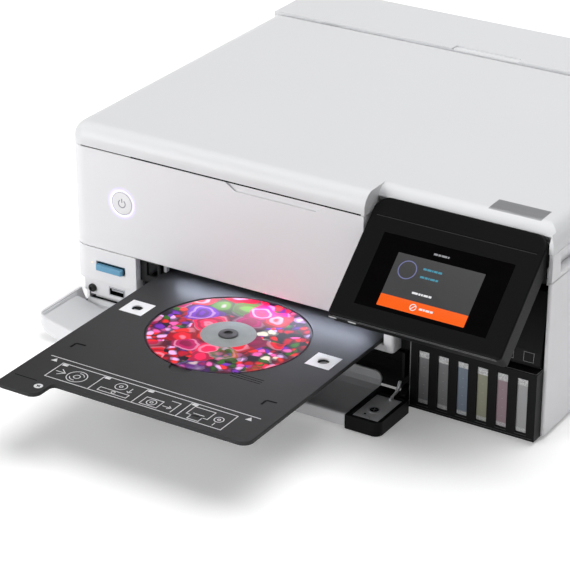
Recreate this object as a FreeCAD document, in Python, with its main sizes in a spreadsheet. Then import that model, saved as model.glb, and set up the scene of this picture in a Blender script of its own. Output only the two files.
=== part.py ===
import FreeCAD, Part
import math
import os

import Sketcher

# Disc label printer: an A4 six-tank inkjet with a loaded disc tray, modelled in millimetres.
# X runs along the front from left to right, Y from the front to the back, Z up from the table.
# Inside this file Y is counted from the front fascia's plane; every piece is then moved by
# `front_y`, which centres the whole outline, tray included, on the origin.

DIMENSIONS = [
    # casing
    ("BodyWidth", 403.0, "outside width of the casing"),
    ("BodyDepth", 372.0, "front fascia to the back face"),
    ("BodyHeight", 162.0, "table to the top of the document lid"),
    ("SkinWall", 2.5, "wall of the outer covers"),
    ("SeamGap", 0.3, "gap between pieces that open or rest on each other"),
    ("CornerRadius", 15.0, "upright front left corner of fascia and lid"),
    ("FootHeight", 3.0, "rubber feet under the base"),
    ("FootRadius", 9.0, "rubber feet"),
    ("BaseThickness", 4.0, "floor of the base"),
    ("SkirtHeight", 4.0, "table to the lower edge of the side covers"),
    ("UnitHeight", 21.1, "scanner unit, from its own seam up to the lid's seam"),
    ("LidHeight", 16.8, "document lid with the seam under it"),
    ("FasciaFoot", 62.7, "lower edge of the fascia"),
    ("PanelGap", 2.5, "fascia's right end to the control panel"),
    ("FasciaWrap", 18.0, "fascia's return round the left corner"),
    ("SetBack", 12.0, "right front corner behind the fascia's plane"),
    ("CornerBack", 18.4, "white returns inside the right front corner, behind the panel"),
    ("PanelBay", 28.0, "depth of the bay behind the control panel"),
    # front controls
    ("ButtonAcross", 152.0, "power button, left of the middle"),
    ("ButtonUp", 106.0, "power button above the table"),
    ("ButtonRadius", 9.7, "cap of the power button"),
    ("RingRadius", 10.75, "light ring round the button"),
    ("RingWall", 0.85, "width of the light ring"),
    ("ButtonTravel", 0.8, "how far the power button goes in"),
    # slot for the disc tray and the paper
    ("BayLeft", 136.0, "left side of the paper bay, from the middle"),
    ("BayRight", 7.4, "right side of the paper bay, left of the tank housing"),
    ("BayWall", 2.0, "upright walls of the paper bay"),
    ("RunGap", 0.3, "clearance of sliding trays above their ledges"),
    ("DeckTop", 22.3, "deck under the paper cassettes, above the table"),
    ("LedgeThickness", 1.2, "ledges that carry the trays"),
    ("LedgeReach", 2.4, "ledges' width"),
    ("BayFront", 12.0, "fronts of the cassettes behind the fascia's plane"),
    ("CassetteDepth", 306.0, "length of the A4 cassette"),
    ("PhotoDepth", 186.0, "length of the photo paper cassette"),
    ("LowerCassetteHeight", 9.0, "A4 cassette"),
    ("UpperCassetteHeight", 8.0, "photo paper cassette"),
    ("CassetteWall", 1.6, "walls of both cassettes"),
    ("StackerThickness", 2.2, "output stacker"),
    ("StackerDepth", 146.0, "output stacker, front to back"),
    # disc tray
    ("TrayTop", 52.0, "top of the disc tray above the table"),
    ("TrayThickness", 2.8, "disc tray"),
    ("TrayWidth", 197.0, "disc tray"),
    ("JambWidth", 8.0, "upright at the right of the disc slot"),
    ("TrayMiddle", 1.85, "tray, left of halfway between card reader and tank housing"),
    ("TrayFront", 180.0, "front edge of the tray, ahead of the fascia"),
    ("TabReach", 20.0, "finger tab ahead of the tray's front edge"),
    ("TabWidth", 36.0, "finger tab"),
    ("TrayBack", 70.0, "rear edge of the tray, behind the fascia"),
    ("DiscAhead", 51.0, "middle of the disc ahead of the fascia"),
    ("DiscRadius", 60.0, "optical disc"),
    ("DiscThickness", 1.2, "optical disc"),
    ("DiscBore", 7.5, "radius of the disc's centre hole"),
    ("DiscSink", 0.3, "disc's printed face below the tray's top"),
    ("RecessGap", 1.4, "round the disc in its recess"),
    ("HubRadius", 7.35, "centring hub of the tray"),
    ("PadSize", 20.0, "square registration pads"),
    ("PadApart", 80.4, "registration pads from the tray's middle"),
    ("PadHole", 4.35, "radius of the hole in each pad"),
    # card reader and sockets
    ("ReaderRight", 140.7, "right side of the card reader, from the middle"),
    ("ReaderFoot", 34.5, "lower edge of the card reader's face"),
    ("CardWidth", 24.4, "memory card"),
    ("CardLength", 32.0, "memory card"),
    ("CardThickness", 4.6, "memory card with its grip end"),
    ("CardAcross", 164.6, "middle of the card slot, left of the middle"),
    ("CardUp", 47.9, "middle of the card slot above the table"),
    ("CardStandsOut", 3.6, "card ahead of the reader's face"),
    # ink tanks
    ("TankGroup", 101.5, "tank housing, left to right"),
    ("TankInset", 2.6, "tank housing inside the casing's right side"),
    ("TankFront", 1.8, "face of the tank housing behind the fascia's plane"),
    ("TankLedge", 56.5, "ledge above the ink windows"),
    ("TankDepth", 126.0, "back of the tank housing"),
    ("TankDeckBelow", 5.6, "deck over the ink tanks, below the scanner unit's seam"),
    ("TankPitch", 15.76, "from one ink tank to the next"),
    ("TankWidth", 13.8, "one ink tank"),
    ("TankFirst", 11.8, "middle of the first ink tank from the housing's left side"),
    ("WindowWidth", 8.6, "ink windows"),
    ("WindowFoot", 8.0, "lower edge of the ink windows"),
    ("WindowTop", 50.7, "upper edge of the ink windows"),
    ("TankTop", 53.0, "top of the ink tanks"),
    ("NeckRadius", 5.0, "filler neck of a tank"),
    ("NeckBore", 3.8, "filler opening of a tank"),
    ("NeckHeight", 7.0, "filler neck of a tank"),
    ("FlapHingeBack", 22.5, "tank cover's hinge behind the fascia's plane"),
    ("FlapHingeBelow", 12.6, "tank cover's hinge below the scanner unit's seam"),
    # control panel, in its own frame: across, up the slab, out of its face
    ("PanelWidth", 136.0, "control panel"),
    ("PanelMiddle", 72.5, "middle of the panel from the casing's right side"),
    ("PanelBelow", 84.0, "hinge to the panel's lower edge"),
    ("PanelAbove", 12.0, "hinge to the panel's upper edge"),
    ("PanelFace", 9.0, "hinge to the panel's face"),
    ("PanelBack", 6.0, "hinge to the panel's back"),
    ("PanelCorner", 11.0, "upper corners of the panel"),
    ("PanelTilt", 42.2, "slope of the raised panel, in degrees"),
    ("PanelHingeBack", 13.96, "panel hinge behind the fascia's plane"),
    ("PanelHingeBelow", 2.63, "panel hinge below the lid's seam"),
    ("HingePin", 2.5, "radius of the panel's hinge pins"),
    ("PinClearance", 0.06, "running clearance round a pin"),
    ("GlassWidth", 103.0, "touch glass"),
    ("GlassHeight", 57.0, "touch glass"),
    ("GlassBelow", 71.5, "hinge to the glass's lower edge"),
    # front cover, folded down
    ("CoverReach", 48.0, "open cover ahead of the fascia"),
    ("CoverUnder", 2.0, "open cover above the table"),
    ("CoverLip", 10.0, "rim of the open cover"),
    ("CoverSideTop", 20.0, "top of the open cover's left end"),
    ("CoverSplit", 24.4, "where the cover's white part ends, left of the tank housing"),
    ("CoverRight", 3.9, "right end of the cover past the tank housing's left side"),
    ("CoverHingeBack", 6.0, "cover hinge behind the fascia's plane"),
    ("CoverHingeUp", 8.0, "cover hinge above the table"),
    ("ScoopTop", 22.0, "rear edge of the cover's inner scoop"),
    # lid and scanner
    ("LidDepth", 297.5, "front to back of the document lid"),
    ("LidRounding", 12.0, "front and side edges of the lid"),
    ("LidNose", 8.0, "rounded rear edge of the lid, about its hinge"),
    ("NotchTop", 18.5, "lid's cut-out for the panel, at the top"),
    ("NotchFoot", 28.0, "lid's cut-out for the panel, at the seam"),
    ("BedWidth", 310.0, "document glass"),
    ("BedDepth", 220.0, "document glass"),
    ("BedFront", 55.0, "document glass behind the fascia's plane"),
    ("GlassThickness", 2.5, "document glass and frame"),
    # print engine
    ("PlatenFront", 110.0, "front of the platen"),
    ("PlatenBack", 190.0, "back of the platen"),
    ("PlatenTop", 48.5, "top of the platen's ribs"),
    ("RodRadius", 5.0, "carriage guide rod"),
    ("RodBack", 146.0, "guide rod behind the fascia's plane"),
    ("RodUp", 84.0, "guide rod above the table"),
    ("CarriageWidth", 60.0, "print carriage"),
    ("CarriageAcross", 51.5, "parked carriage from the casing's right side"),
    ("HeadGap", 2.0, "print head above the disc tray"),
    ("PulleyRadius", 6.0, "belt pulleys"),
    ("PulleyLeft", 29.5, "idle pulley from the casing's left side"),
    ("PulleyRight", 17.5, "driven pulley from the casing's right side"),
    ("BeltThickness", 0.8, "carriage belt"),
    ("RollerRadius", 2.6, "feed and exit rollers"),
    ("ShaftRadius", 1.9, "roller shafts"),
    ("FeedBack", 198.0, "feed shaft behind the fascia's plane"),
    ("ExitBack", 100.0, "exit shaft behind the fascia's plane"),
]

doc = FreeCAD.newDocument("DiscLabelPrinter")
sheet = doc.addObject("Spreadsheet::Sheet", "Sizes")


# ---------------------------------------------------------------- sizes with their formulas


class Size:
    """A number together with the spreadsheet expression that it comes from."""

    def __init__(self, value, text):
        self.value = float(value)
        self.text = text

    def __add__(self, other):
        other = size_of(other)
        return Size(self.value + other.value, f"({self.text} + {other.text})")

    def __sub__(self, other):
        other = size_of(other)
        return Size(self.value - other.value, f"({self.text} - {other.text})")

    def __mul__(self, other):
        other = size_of(other)
        return Size(self.value * other.value, f"({self.text} * {other.text})")

    def __truediv__(self, other):
        other = size_of(other)
        return Size(self.value / other.value, f"({self.text} / {other.text})")

    def __neg__(self):
        return Size(-self.value, f"(-{self.text})")

    def __radd__(self, other):
        return size_of(other) + self

    def __rsub__(self, other):
        return size_of(other) - self

    def __rmul__(self, other):
        return size_of(other) * self


def size_of(number):
    """Wrap a plain number, so that formulas may mix numbers and sizes."""
    if isinstance(number, Size):
        return number
    return Size(number, f"({float(number)!r})")


def sine(angle):
    return Size(math.sin(math.radians(angle.value)), f"sin({angle.text})")


def cosine(angle):
    return Size(math.cos(math.radians(angle.value)), f"cos({angle.text})")


def fill_sheet():
    """Write the driving dimensions into the sheet and return them by name."""
    sizes = {}
    for row, (alias, value, meaning) in enumerate(DIMENSIONS, start=1):
        sheet.set(f"A{row}", meaning)
        sheet.set(f"B{row}", str(value))
        sheet.setAlias(f"B{row}", alias)
        sizes[alias] = Size(value, f"Sizes.{alias}")
    doc.recompute()
    return sizes


D = fill_sheet()


# ---------------------------------------------------------------- sketches, bodies, primitives


def bind(obj, prop, number):
    """Drive a property by a size's formula."""
    obj.setExpression(prop, size_of(number).text)


def poly(*points):
    """A closed outline through points (across, up), each held by two driven distances."""

    def draw(sketch):
        first = len(sketch.Geometry)
        ends = [FreeCAD.Vector(size_of(u).value, size_of(v).value, 0) for u, v in points]
        count = len(points)
        for i in range(count):
            sketch.addGeometry(Part.LineSegment(ends[i], ends[(i + 1) % count]), False)
        for i in range(count):
            after = first + (i + 1) % count
            sketch.addConstraint(Sketcher.Constraint("Coincident", first + i, 2, after, 1))
        for i, (u, v) in enumerate(points):
            for kind, number in (("DistanceX", u), ("DistanceY", v)):
                rule = Sketcher.Constraint(kind, -1, 1, first + i, 1, size_of(number).value)
                index = sketch.addConstraint(rule)
                bind(sketch, f"Constraints[{index}]", number)

    return draw


def rect(u0, v0, u1, v1):
    return poly((u0, v0), (u1, v0), (u1, v1), (u0, v1))


def disc(u, v, radius):
    """A full circle about (u, v)."""

    def draw(sketch):
        centre = FreeCAD.Vector(size_of(u).value, size_of(v).value, 0)
        circle = Part.Circle(centre, FreeCAD.Vector(0, 0, 1), size_of(radius).value)
        geo = sketch.addGeometry(circle, False)
        for kind, number in (("DistanceX", u), ("DistanceY", v)):
            rule = Sketcher.Constraint(kind, -1, 1, geo, 3, size_of(number).value)
            index = sketch.addConstraint(rule)
            bind(sketch, f"Constraints[{index}]", number)
        index = sketch.addConstraint(Sketcher.Constraint("Radius", geo, size_of(radius).value))
        bind(sketch, f"Constraints[{index}]", radius)

    return draw


def spandrel(u, v, side_u, side_v, radius):
    """What lies outside a rounding of an outline's corner (u, v); the sides are +1 or -1."""

    def draw(sketch):
        over = 1.0
        cu, cv = size_of(u), size_of(v)
        near_u, near_v = cu - size_of(radius) * side_u, cv - size_of(radius) * side_v
        far_u, far_v = cu + over * side_u, cv + over * side_v
        ends = [(near_u, cv), (near_u, far_v), (far_u, far_v), (far_u, near_v), (cu, near_v)]
        flat_ends = [FreeCAD.Vector(a.value, b.value, 0) for a, b in ends]
        first = len(sketch.Geometry)
        for i in range(4):
            sketch.addGeometry(Part.LineSegment(flat_ends[i], flat_ends[i + 1]), False)
        # the arc runs anticlockwise, so which of its ends comes first depends on the corner
        turn = {(1, 1): 0, (-1, 1): 1, (-1, -1): 2, (1, -1): 3}[(side_u, side_v)] * math.pi / 2
        centre = FreeCAD.Vector(near_u.value, near_v.value, 0)
        circle = Part.Circle(centre, FreeCAD.Vector(0, 0, 1), size_of(radius).value)
        arc = sketch.addGeometry(Part.ArcOfCircle(circle, turn, turn + math.pi / 2), False)
        low, high = (1, 2) if side_u * side_v > 0 else (2, 1)
        for i in range(3):
            sketch.addConstraint(Sketcher.Constraint("Coincident", first + i, 2, first + i + 1, 1))
        sketch.addConstraint(Sketcher.Constraint("Coincident", first + 3, 2, arc, low))
        sketch.addConstraint(Sketcher.Constraint("Coincident", arc, high, first, 1))
        held = [(first, 1, ends[0]), (first + 1, 1, ends[1]), (first + 2, 1, ends[2]),
                (first + 3, 1, ends[3]), (first + 3, 2, ends[4])]
        for geo, end, (a, b) in held:
            for kind, number in (("DistanceX", a), ("DistanceY", b)):
                rule = Sketcher.Constraint(kind, -1, 1, geo, end, number.value)
                index = sketch.addConstraint(rule)
                bind(sketch, f"Constraints[{index}]", number)
        rule = Sketcher.Constraint("DistanceX", -1, 1, arc, 3, near_u.value)
        bind(sketch, f"Constraints[{sketch.addConstraint(rule)}]", near_u)

    return draw


def stadium(u, v, half, radius):
    """A round-ended slot about (u, v), its straight sides 2 x half long, along the sketch's X."""

    def draw(sketch):
        hu, hv, hh, hr = (size_of(n).value for n in (u, v, half, radius))
        up = FreeCAD.Vector(0, 0, 1)
        left, right = FreeCAD.Vector(hu - hh, hv, 0), FreeCAD.Vector(hu + hh, hv, 0)
        quarter = math.pi / 2
        right_arc = Part.ArcOfCircle(Part.Circle(right, up, hr), -quarter, quarter)
        left_arc = Part.ArcOfCircle(Part.Circle(left, up, hr), quarter, 3 * quarter)
        above, below = FreeCAD.Vector(0, hr, 0), FreeCAD.Vector(0, -hr, 0)
        geo = sketch.addGeometry(
            [right_arc, Part.LineSegment(right + above, left + above), left_arc,
             Part.LineSegment(left + below, right + below)], False)
        for a, b in ((geo[0], geo[1]), (geo[1], geo[2]), (geo[2], geo[3]), (geo[3], geo[0])):
            sketch.addConstraint(Sketcher.Constraint("Tangent", a, 2, b, 1))
        rules = (("DistanceX", geo[0], u + half), ("DistanceX", geo[2], u - half),
                 ("DistanceY", geo[0], v), ("DistanceY", geo[2], v))
        for kind, arc, number in rules:
            rule = Sketcher.Constraint(kind, -1, 1, arc, 3, size_of(number).value)
            index = sketch.addConstraint(rule)
            bind(sketch, f"Constraints[{index}]", number)
        index = sketch.addConstraint(Sketcher.Constraint("Radius", geo[0], hr))
        bind(sketch, f"Constraints[{index}]", radius)

    return draw


# the origin plane of each sketch, and the sign of its normal along the axis it looks down
PLANES = {"X": ("YZ_Plane", 1), "Y": ("XZ_Plane", -1), "Z": ("XY_Plane", 1)}

front_y = (D["TrayFront"] + D["TabReach"] - D["BodyDepth"]) / 2

nodes = {}
cuts = []


def keep(node, obj):
    """Enter a finished piece under its node name."""
    obj.Label = node
    nodes[node] = obj
    return obj


def place(obj, x=0.0, y=0.0, z=0.0, tilt=None):
    """Place a piece in the printer's frame, turned about X when tilt is given."""
    bind(obj, "Placement.Base.x", x)
    bind(obj, "Placement.Base.y", front_y + y)
    bind(obj, "Placement.Base.z", z)
    if tilt is not None:
        obj.Placement.Rotation = FreeCAD.Rotation(FreeCAD.Vector(1, 0, 0), tilt.value)
        bind(obj, "Placement.Rotation.Angle", tilt)


class Piece:
    """A PartDesign body, built feature by feature, that becomes one node."""

    def __init__(self, node, **where):
        self.node = node
        self.body = doc.addObject("PartDesign::Body", node)
        self.body.AllowCompound = True
        keep(node, self.body)
        place(self.body, **where)
        self.tip = None

    def sketch(self, axis, at, shapes):
        """A sketch square to an axis at a given distance along it."""
        role, sign = PLANES[axis]
        plane = [o for o in self.body.Origin.OriginFeatures if o.Role == role][0]
        sketch = self.body.newObject("Sketcher::SketchObject", f"{self.node}_sketch")
        sketch.AttachmentSupport = [(plane, "")]
        sketch.MapMode = "FlatFace"
        bind(sketch, "AttachmentOffset.Base.z", size_of(at) * sign)
        for draw in shapes:
            draw(sketch)
        return sketch

    def pad(self, axis, start, end, *shapes):
        """Add material between two places along an axis."""
        sign = PLANES[axis][1]
        sketch = self.sketch(axis, start if sign > 0 else end, shapes)
        pad = self.body.newObject("PartDesign::Pad", f"{self.node}_pad")
        pad.Profile = sketch
        bind(pad, "Length", end - start)
        self.tip = pad
        return self

    def cut(self, axis, start, end, *shapes):
        """Take material away between two places along an axis."""
        sign = PLANES[axis][1]
        sketch = self.sketch(axis, end if sign > 0 else start, shapes)
        cut = self.body.newObject("PartDesign::Pocket", f"{self.node}_cut")
        cut.Profile = sketch
        bind(cut, "Length", end - start)
        cuts.append((cut, self.tip))
        self.tip = cut
        return self

    def edges(self, wanted):
        doc.recompute()
        found = self.tip.Shape.Edges
        return [f"Edge{i + 1}" for i, edge in enumerate(found) if wanted(edge)]

    def fillet(self, radius, wanted):
        """Round the edges that the test picks."""
        names = self.edges(wanted)
        if not names:
            raise RuntimeError(f"{self.node}: no edge to round")
        fillet = self.body.newObject("PartDesign::Fillet", f"{self.node}_fillet")
        fillet.Base = (self.tip, names)
        bind(fillet, "Radius", radius)
        self.tip.Visibility = False
        self.tip = fillet
        return self

    def chamfer(self, width, wanted):
        """Bevel the edges that the test picks."""
        names = self.edges(wanted)
        if not names:
            raise RuntimeError(f"{self.node}: no edge to bevel")
        chamfer = self.body.newObject("PartDesign::Chamfer", f"{self.node}_chamfer")
        chamfer.Base = (self.tip, names)
        bind(chamfer, "Size", width)
        self.tip = chamfer
        return self


def straight(axis, **near):
    """Picks straight edges along an axis whose middle has the given coordinates."""

    def test(edge):
        if not isinstance(edge.Curve, Part.Line):
            return False
        if abs(abs(getattr(edge.Curve.Direction, axis.lower())) - 1) > 1e-6:
            return False
        middle = edge.CenterOfMass
        return all(abs(getattr(middle, k) - size_of(v).value) < 0.01 for k, v in near.items())

    return test


def flat(**near):
    """Picks edges that lie wholly at the given coordinates, curved ones too."""

    def test(edge):
        box = edge.BoundBox
        for key, value in near.items():
            number = size_of(value).value
            low, high = getattr(box, f"{key.upper()}Min"), getattr(box, f"{key.upper()}Max")
            if abs(low - number) > 0.01 or abs(high - number) > 0.01:
                return False
        return True

    return test


def within(test, **limits):
    """Narrows a test to edges whose middle lies inside limits such as x=(low, high)."""

    def narrower(edge):
        middle = edge.CenterOfMass
        inside = all(size_of(low).value <= getattr(middle, k) <= size_of(high).value
                     for k, (low, high) in limits.items())
        return inside and test(edge)

    return narrower


def either(*tests):
    return lambda edge: any(test(edge) for test in tests)


def block(x0, x1, y0, y1, z0, z1):
    """A Part box between two corners."""
    box = doc.addObject("Part::Box", "block")
    bind(box, "Length", x1 - x0)
    bind(box, "Width", y1 - y0)
    bind(box, "Height", z1 - z0)
    place(box, x0, y0, z0)
    return box


def rod(axis, start, end, a, b, radius):
    """A Part cylinder along an axis; a and b are its other two coordinates, in X, Y, Z order."""
    cylinder = doc.addObject("Part::Cylinder", "rod")
    bind(cylinder, "Radius", radius)
    bind(cylinder, "Height", end - start)
    if axis == "X":
        cylinder.Placement.Rotation = FreeCAD.Rotation(FreeCAD.Vector(0, 1, 0), 90)
        place(cylinder, start, a, b)
    elif axis == "Y":
        cylinder.Placement.Rotation = FreeCAD.Rotation(FreeCAD.Vector(1, 0, 0), -90)
        place(cylinder, a, start, b)
    else:
        place(cylinder, a, b, start)
    return cylinder


def fuse(*shapes):
    union = doc.addObject("Part::MultiFuse", "union")
    union.Shapes = list(shapes)
    return union


def minus(base, *tools):
    tool = tools[0] if len(tools) == 1 else fuse(*tools)
    difference = doc.addObject("Part::Cut", "difference")
    difference.Base = base
    difference.Tool = tool
    return difference


def group(*shapes):
    """Identical separate solids that share one node."""
    compound = doc.addObject("Part::Compound", "group")
    compound.Links = list(shapes)
    return compound


# ---------------------------------------------------------------- values shared by the pieces

half = D["BodyWidth"] / 2
wall = D["SkinWall"]
gap = D["SeamGap"]
inner = half - wall
depth = D["BodyDepth"]
back_inside = depth - wall
base_top = D["FootHeight"] + D["BaseThickness"]
lid_seam = D["BodyHeight"] - D["LidHeight"]
unit_seam = lid_seam - D["UnitHeight"]
frame_top = unit_seam - 12.1
lower_top = unit_seam - gap
unit_floor = unit_seam + gap
unit_top = lid_seam
lid_floor = unit_top + gap
lid_back = D["LidDepth"]
nose_y = lid_back - D["LidNose"]
nose_z = (D["BodyHeight"] + lid_floor) / 2

# tank housing and control panel, from the right side
tank_right = half - D["TankInset"]
tank_left = tank_right - D["TankGroup"]
tank_deck = unit_seam - D["TankDeckBelow"]
flap_up = unit_seam - D["FlapHingeBelow"]
panel_middle = half - D["PanelMiddle"]
panel_up = lid_seam - D["PanelHingeBelow"]
fascia_right = panel_middle - D["PanelWidth"] / 2 - D["PanelGap"]
cover_split = tank_left - D["CoverSplit"]
cover_right = tank_left + D["CoverRight"]

# the stack in the paper bay, from the deck up
bay_left = -D["BayLeft"]
bay_right = tank_left - D["BayRight"]
cassette_floor = D["DeckTop"] + D["RunGap"]
cassette_top = cassette_floor + D["LowerCassetteHeight"]
photo_floor = cassette_top + D["RunGap"]
photo_top = photo_floor + D["UpperCassetteHeight"]
stacker_floor = photo_top + D["RunGap"]
stacker_top = stacker_floor + D["StackerThickness"]
bay_top = stacker_top + 2 * D["RunGap"]
bay_back = D["BayFront"] + D["CassetteDepth"] + 6.0

tray_middle = (tank_left - D["ReaderRight"]) / 2 - D["TrayMiddle"]
tray_left = tray_middle - D["TrayWidth"] / 2
tray_right = tray_middle + D["TrayWidth"] / 2
tray_floor = D["TrayTop"] - D["TrayThickness"]
disc_y = -D["DiscAhead"]
disc_top = D["TrayTop"] - D["DiscSink"]
disc_floor = disc_top - D["DiscThickness"]
recess_radius = D["DiscRadius"] + D["RecessGap"]
roller_z = D["PlatenTop"] - D["RollerRadius"]

build_steps = []


def step(function):
    """Marks a function that builds one piece or one family of pieces."""
    build_steps.append(function)
    return function


# ---------------------------------------------------------------- lower housing


@step
def base_chassis():
    """Floor of the printer, the deck under the cassettes and the walls of the paper bay."""
    p = Piece("base_chassis")
    front = 22.5
    p.pad("Z", D["FootHeight"], base_top, poly(
        (-inner, front), (tank_left, front), (tank_left, D["TankDepth"]),
        (inner, D["TankDepth"]), (inner, back_inside), (-inner, back_inside)))
    left_out, right_out = bay_left - D["BayWall"], bay_right + D["BayWall"]
    deck = D["DeckTop"]
    p.pad("Z", deck - 2.0, deck, rect(bay_left, 18.0, bay_right, bay_back))
    for low, high in ((front, front + 2.0), (bay_back - 2.0, bay_back)):
        p.pad("Y", low, high, rect(bay_left, base_top, bay_right, deck - 2.0))
    towers = roller_z + 5.0
    profile = poly(
        (front, base_top), (bay_back, base_top), (bay_back, bay_top),
        (D["FeedBack"] + 6.0, bay_top), (D["FeedBack"] + 6.0, towers),
        (D["PlatenBack"] + 1.5, towers), (D["PlatenBack"] + 1.5, bay_top),
        (D["PlatenFront"] - 3.5, bay_top), (D["PlatenFront"] - 3.5, towers),
        (D["ExitBack"] - 6.0, towers), (D["ExitBack"] - 6.0, bay_top),
        (5.0, bay_top), (5.0, deck + 0.6), (18.0, deck + 0.6), (18.0, deck - 2.0),
        (front, deck - 2.0))
    p.pad("X", left_out, bay_left, profile)
    p.pad("X", bay_right, right_out, profile)
    # ledges for the photo cassette and the stacker
    reach = D["LedgeReach"]
    for top, back in ((photo_top - 2.0, D["BayFront"] + D["PhotoDepth"]),
                      (stacker_top - 1.4, D["BayFront"] + D["StackerDepth"])):
        p.pad("Z", top - D["LedgeThickness"], top,
              rect(bay_left, D["BayFront"] + 2.0, bay_left + reach, back),
              rect(bay_right - reach, D["BayFront"] + 2.0, bay_right, back))
    p.pad("Y", bay_back, bay_back + 2.0, rect(left_out, base_top, right_out, bay_top))
    bore = D["ShaftRadius"] + D["PinClearance"]
    for y in (D["FeedBack"], D["ExitBack"]):
        p.cut("X", left_out - 1.0, right_out + 1.0, disc(y, roller_z, bore))
    # ear that carries the front cover's left hinge pin
    hy, hz = D["CoverHingeBack"], D["CoverHingeUp"]
    ear_left, ear_right = -inner + 4.5, -inner + 7.5
    p.pad("X", ear_left, ear_right, rect(hy, hz - 3.0, front, hz + 3.0))
    p.pad("X", ear_left, ear_right, disc(hy, hz, 3.0))
    p.cut("X", ear_left, ear_right, disc(hy, hz, 2.0 + D["PinClearance"]))


@step
def rubber_feet():
    """Six feet pressed against the underside of the base and of the tank housing."""
    feet = []
    for x in (-inner + 24.0, size_of(-20.0), inner - 24.0):
        for y in (size_of(44.0), back_inside - 26.0):
            feet.append(rod("Z", size_of(0.0), D["FootHeight"], x, y, D["FootRadius"]))
    keep("rubber_feet", group(*feet))


@step
def side_covers():
    """White side covers; the right one starts further back, where the tank housing stands."""
    top = lower_top
    left = Piece("left_side_cover")
    left.pad("X", -half, -inner, rect(D["FasciaWrap"] + gap, D["SkirtHeight"], back_inside, top))
    left.pad("Z", top - wall, top, rect(-inner, 32.0, -inner + 6.0, back_inside))
    left.chamfer(0.8, straight("y", x=-half, z=top))

    right = Piece("right_side_cover")
    right.pad("X", inner, half, rect(D["SetBack"], D["SkirtHeight"], back_inside, top))
    right.pad("Z", top - wall, top, rect(inner - 6.0, 40.0, inner, back_inside))
    right.pad("Y", D["CornerBack"], D["CornerBack"] + wall,
              rect(inner - 4.4, tank_deck + gap, inner, top))
    right.fillet(1.6, straight("z", x=half, y=D["SetBack"]))
    right.chamfer(0.8, straight("y", x=half, z=top))


feed_front = lid_back + 2 * gap
feed_bottom = D["BodyHeight"] - 2.7


def inlet_middle():
    return -half + 31.5, size_of(40.0)


@step
def rear_housing():
    """Back of the printer with the rear paper feed's slot and the bay of the mains inlet."""
    p = Piece("rear_housing")
    low, top = unit_seam, feed_bottom - gap
    p.pad("Y", back_inside, depth, rect(-half, D["SkirtHeight"], half, top))
    p.pad("Y", feed_front, feed_front + wall, rect(-half, low, half, top))
    p.pad("Z", top - wall, top, rect(-half, feed_front + wall, half, back_inside))
    for x0, x1 in ((-half, -inner), (inner, half)):
        p.pad("X", x0, x1, rect(feed_front + wall, low, back_inside, top - wall))
    p.cut("Z", top - wall, top, rect(-110.0, depth - 47.0, 110.0, depth - 22.0))
    x, z = inlet_middle()
    p.cut("Y", back_inside, depth, rect(x - 12.0, z - 9.0, x + 12.0, z + 9.0))
    for i in range(7):
        z0 = 70.0 + 5.0 * i
        p.cut("Y", back_inside, depth, rect(-half + 13.5, z0, -half + 53.5, z0 + 2.0))
    p.fillet(2.2, either(straight("z", x=-half, y=depth), straight("z", x=half, y=depth)))


@step
def rear_feed_cover():
    """Flap over the rear paper feed, hinged along its rounded rear edge."""
    top = D["BodyHeight"]
    p = Piece("rear_feed_cover")
    p.pad("Z", feed_bottom, top, rect(-half, feed_front, half, depth))
    p.fillet(1.3, within(flat(y=depth), x=(-1.0, 1.0)))
    p.fillet(1.0, either(straight("y", x=-half, z=top), straight("y", x=half, z=top)))
    # finger dent in the front edge
    p.cut("Z", top - 1.2, top, rect(-30.0, feed_front, 30.0, feed_front + 7.0))


@step
def power_inlet():
    """Two-pin mains inlet in the back."""
    x, z = inlet_middle()
    p = Piece("power_inlet")
    p.pad("Y", back_inside - 18.0, back_inside, rect(x - 14.0, z - 11.0, x + 14.0, z + 11.0))
    p.pad("Y", back_inside, depth - 0.4, rect(x - 11.8, z - 8.8, x + 11.8, z + 8.8))
    p.cut("Y", back_inside - 12.0, depth, stadium(x, z, size_of(4.4), size_of(4.4)))
    p.pad("Y", back_inside - 12.5, back_inside - 2.0, disc(x - 4.2, z, 1.2), disc(x + 4.2, z, 1.2))


@step
def power_supply():
    """Boxed supply on the base at the back, in front of the inlet."""
    y1 = back_inside - 19.5
    p = Piece("power_supply")
    p.pad("Z", base_top, size_of(60.0), rect(-half + 13.5, y1 - 60.0, -half + 53.5, y1))
    for i in range(5):
        y = y1 - 52.0 + 10.0 * i
        p.cut("Z", size_of(57.0), size_of(60.0), rect(-half + 19.5, y, -half + 47.5, y + 4.0))


@step
def main_board():
    """Control board upright behind the left cover, on four pillars, with its parts."""
    face = -inner + 7.0
    p = Piece("main_board")
    p.pad("X", face, face + 1.6, rect(60.0, base_top + 12.0, 210.0, frame_top))
    for y, z in ((68.0, frame_top - 8.0), (202.0, frame_top - 8.0), (68.0, 27.0), (202.0, 27.0)):
        p.pad("X", -inner, face, disc(y, z, 3.0))
    for y, z, w, h, t in ((84.0, 70.0, 26.0, 26.0, 2.2), (130.0, 74.0, 14.0, 20.0, 1.6),
                          (152.0, 74.0, 14.0, 20.0, 1.6), (80.0, 30.0, 30.0, 9.0, 9.0),
                          (124.0, 30.0, 22.0, 9.0, 4.4), (160.0, 30.0, 30.0, 9.0, 4.4)):
        p.pad("X", face + 1.6, face + 1.6 + t, rect(y, z, y + w, z + h))


# ---------------------------------------------------------------- front of the housing


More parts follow.
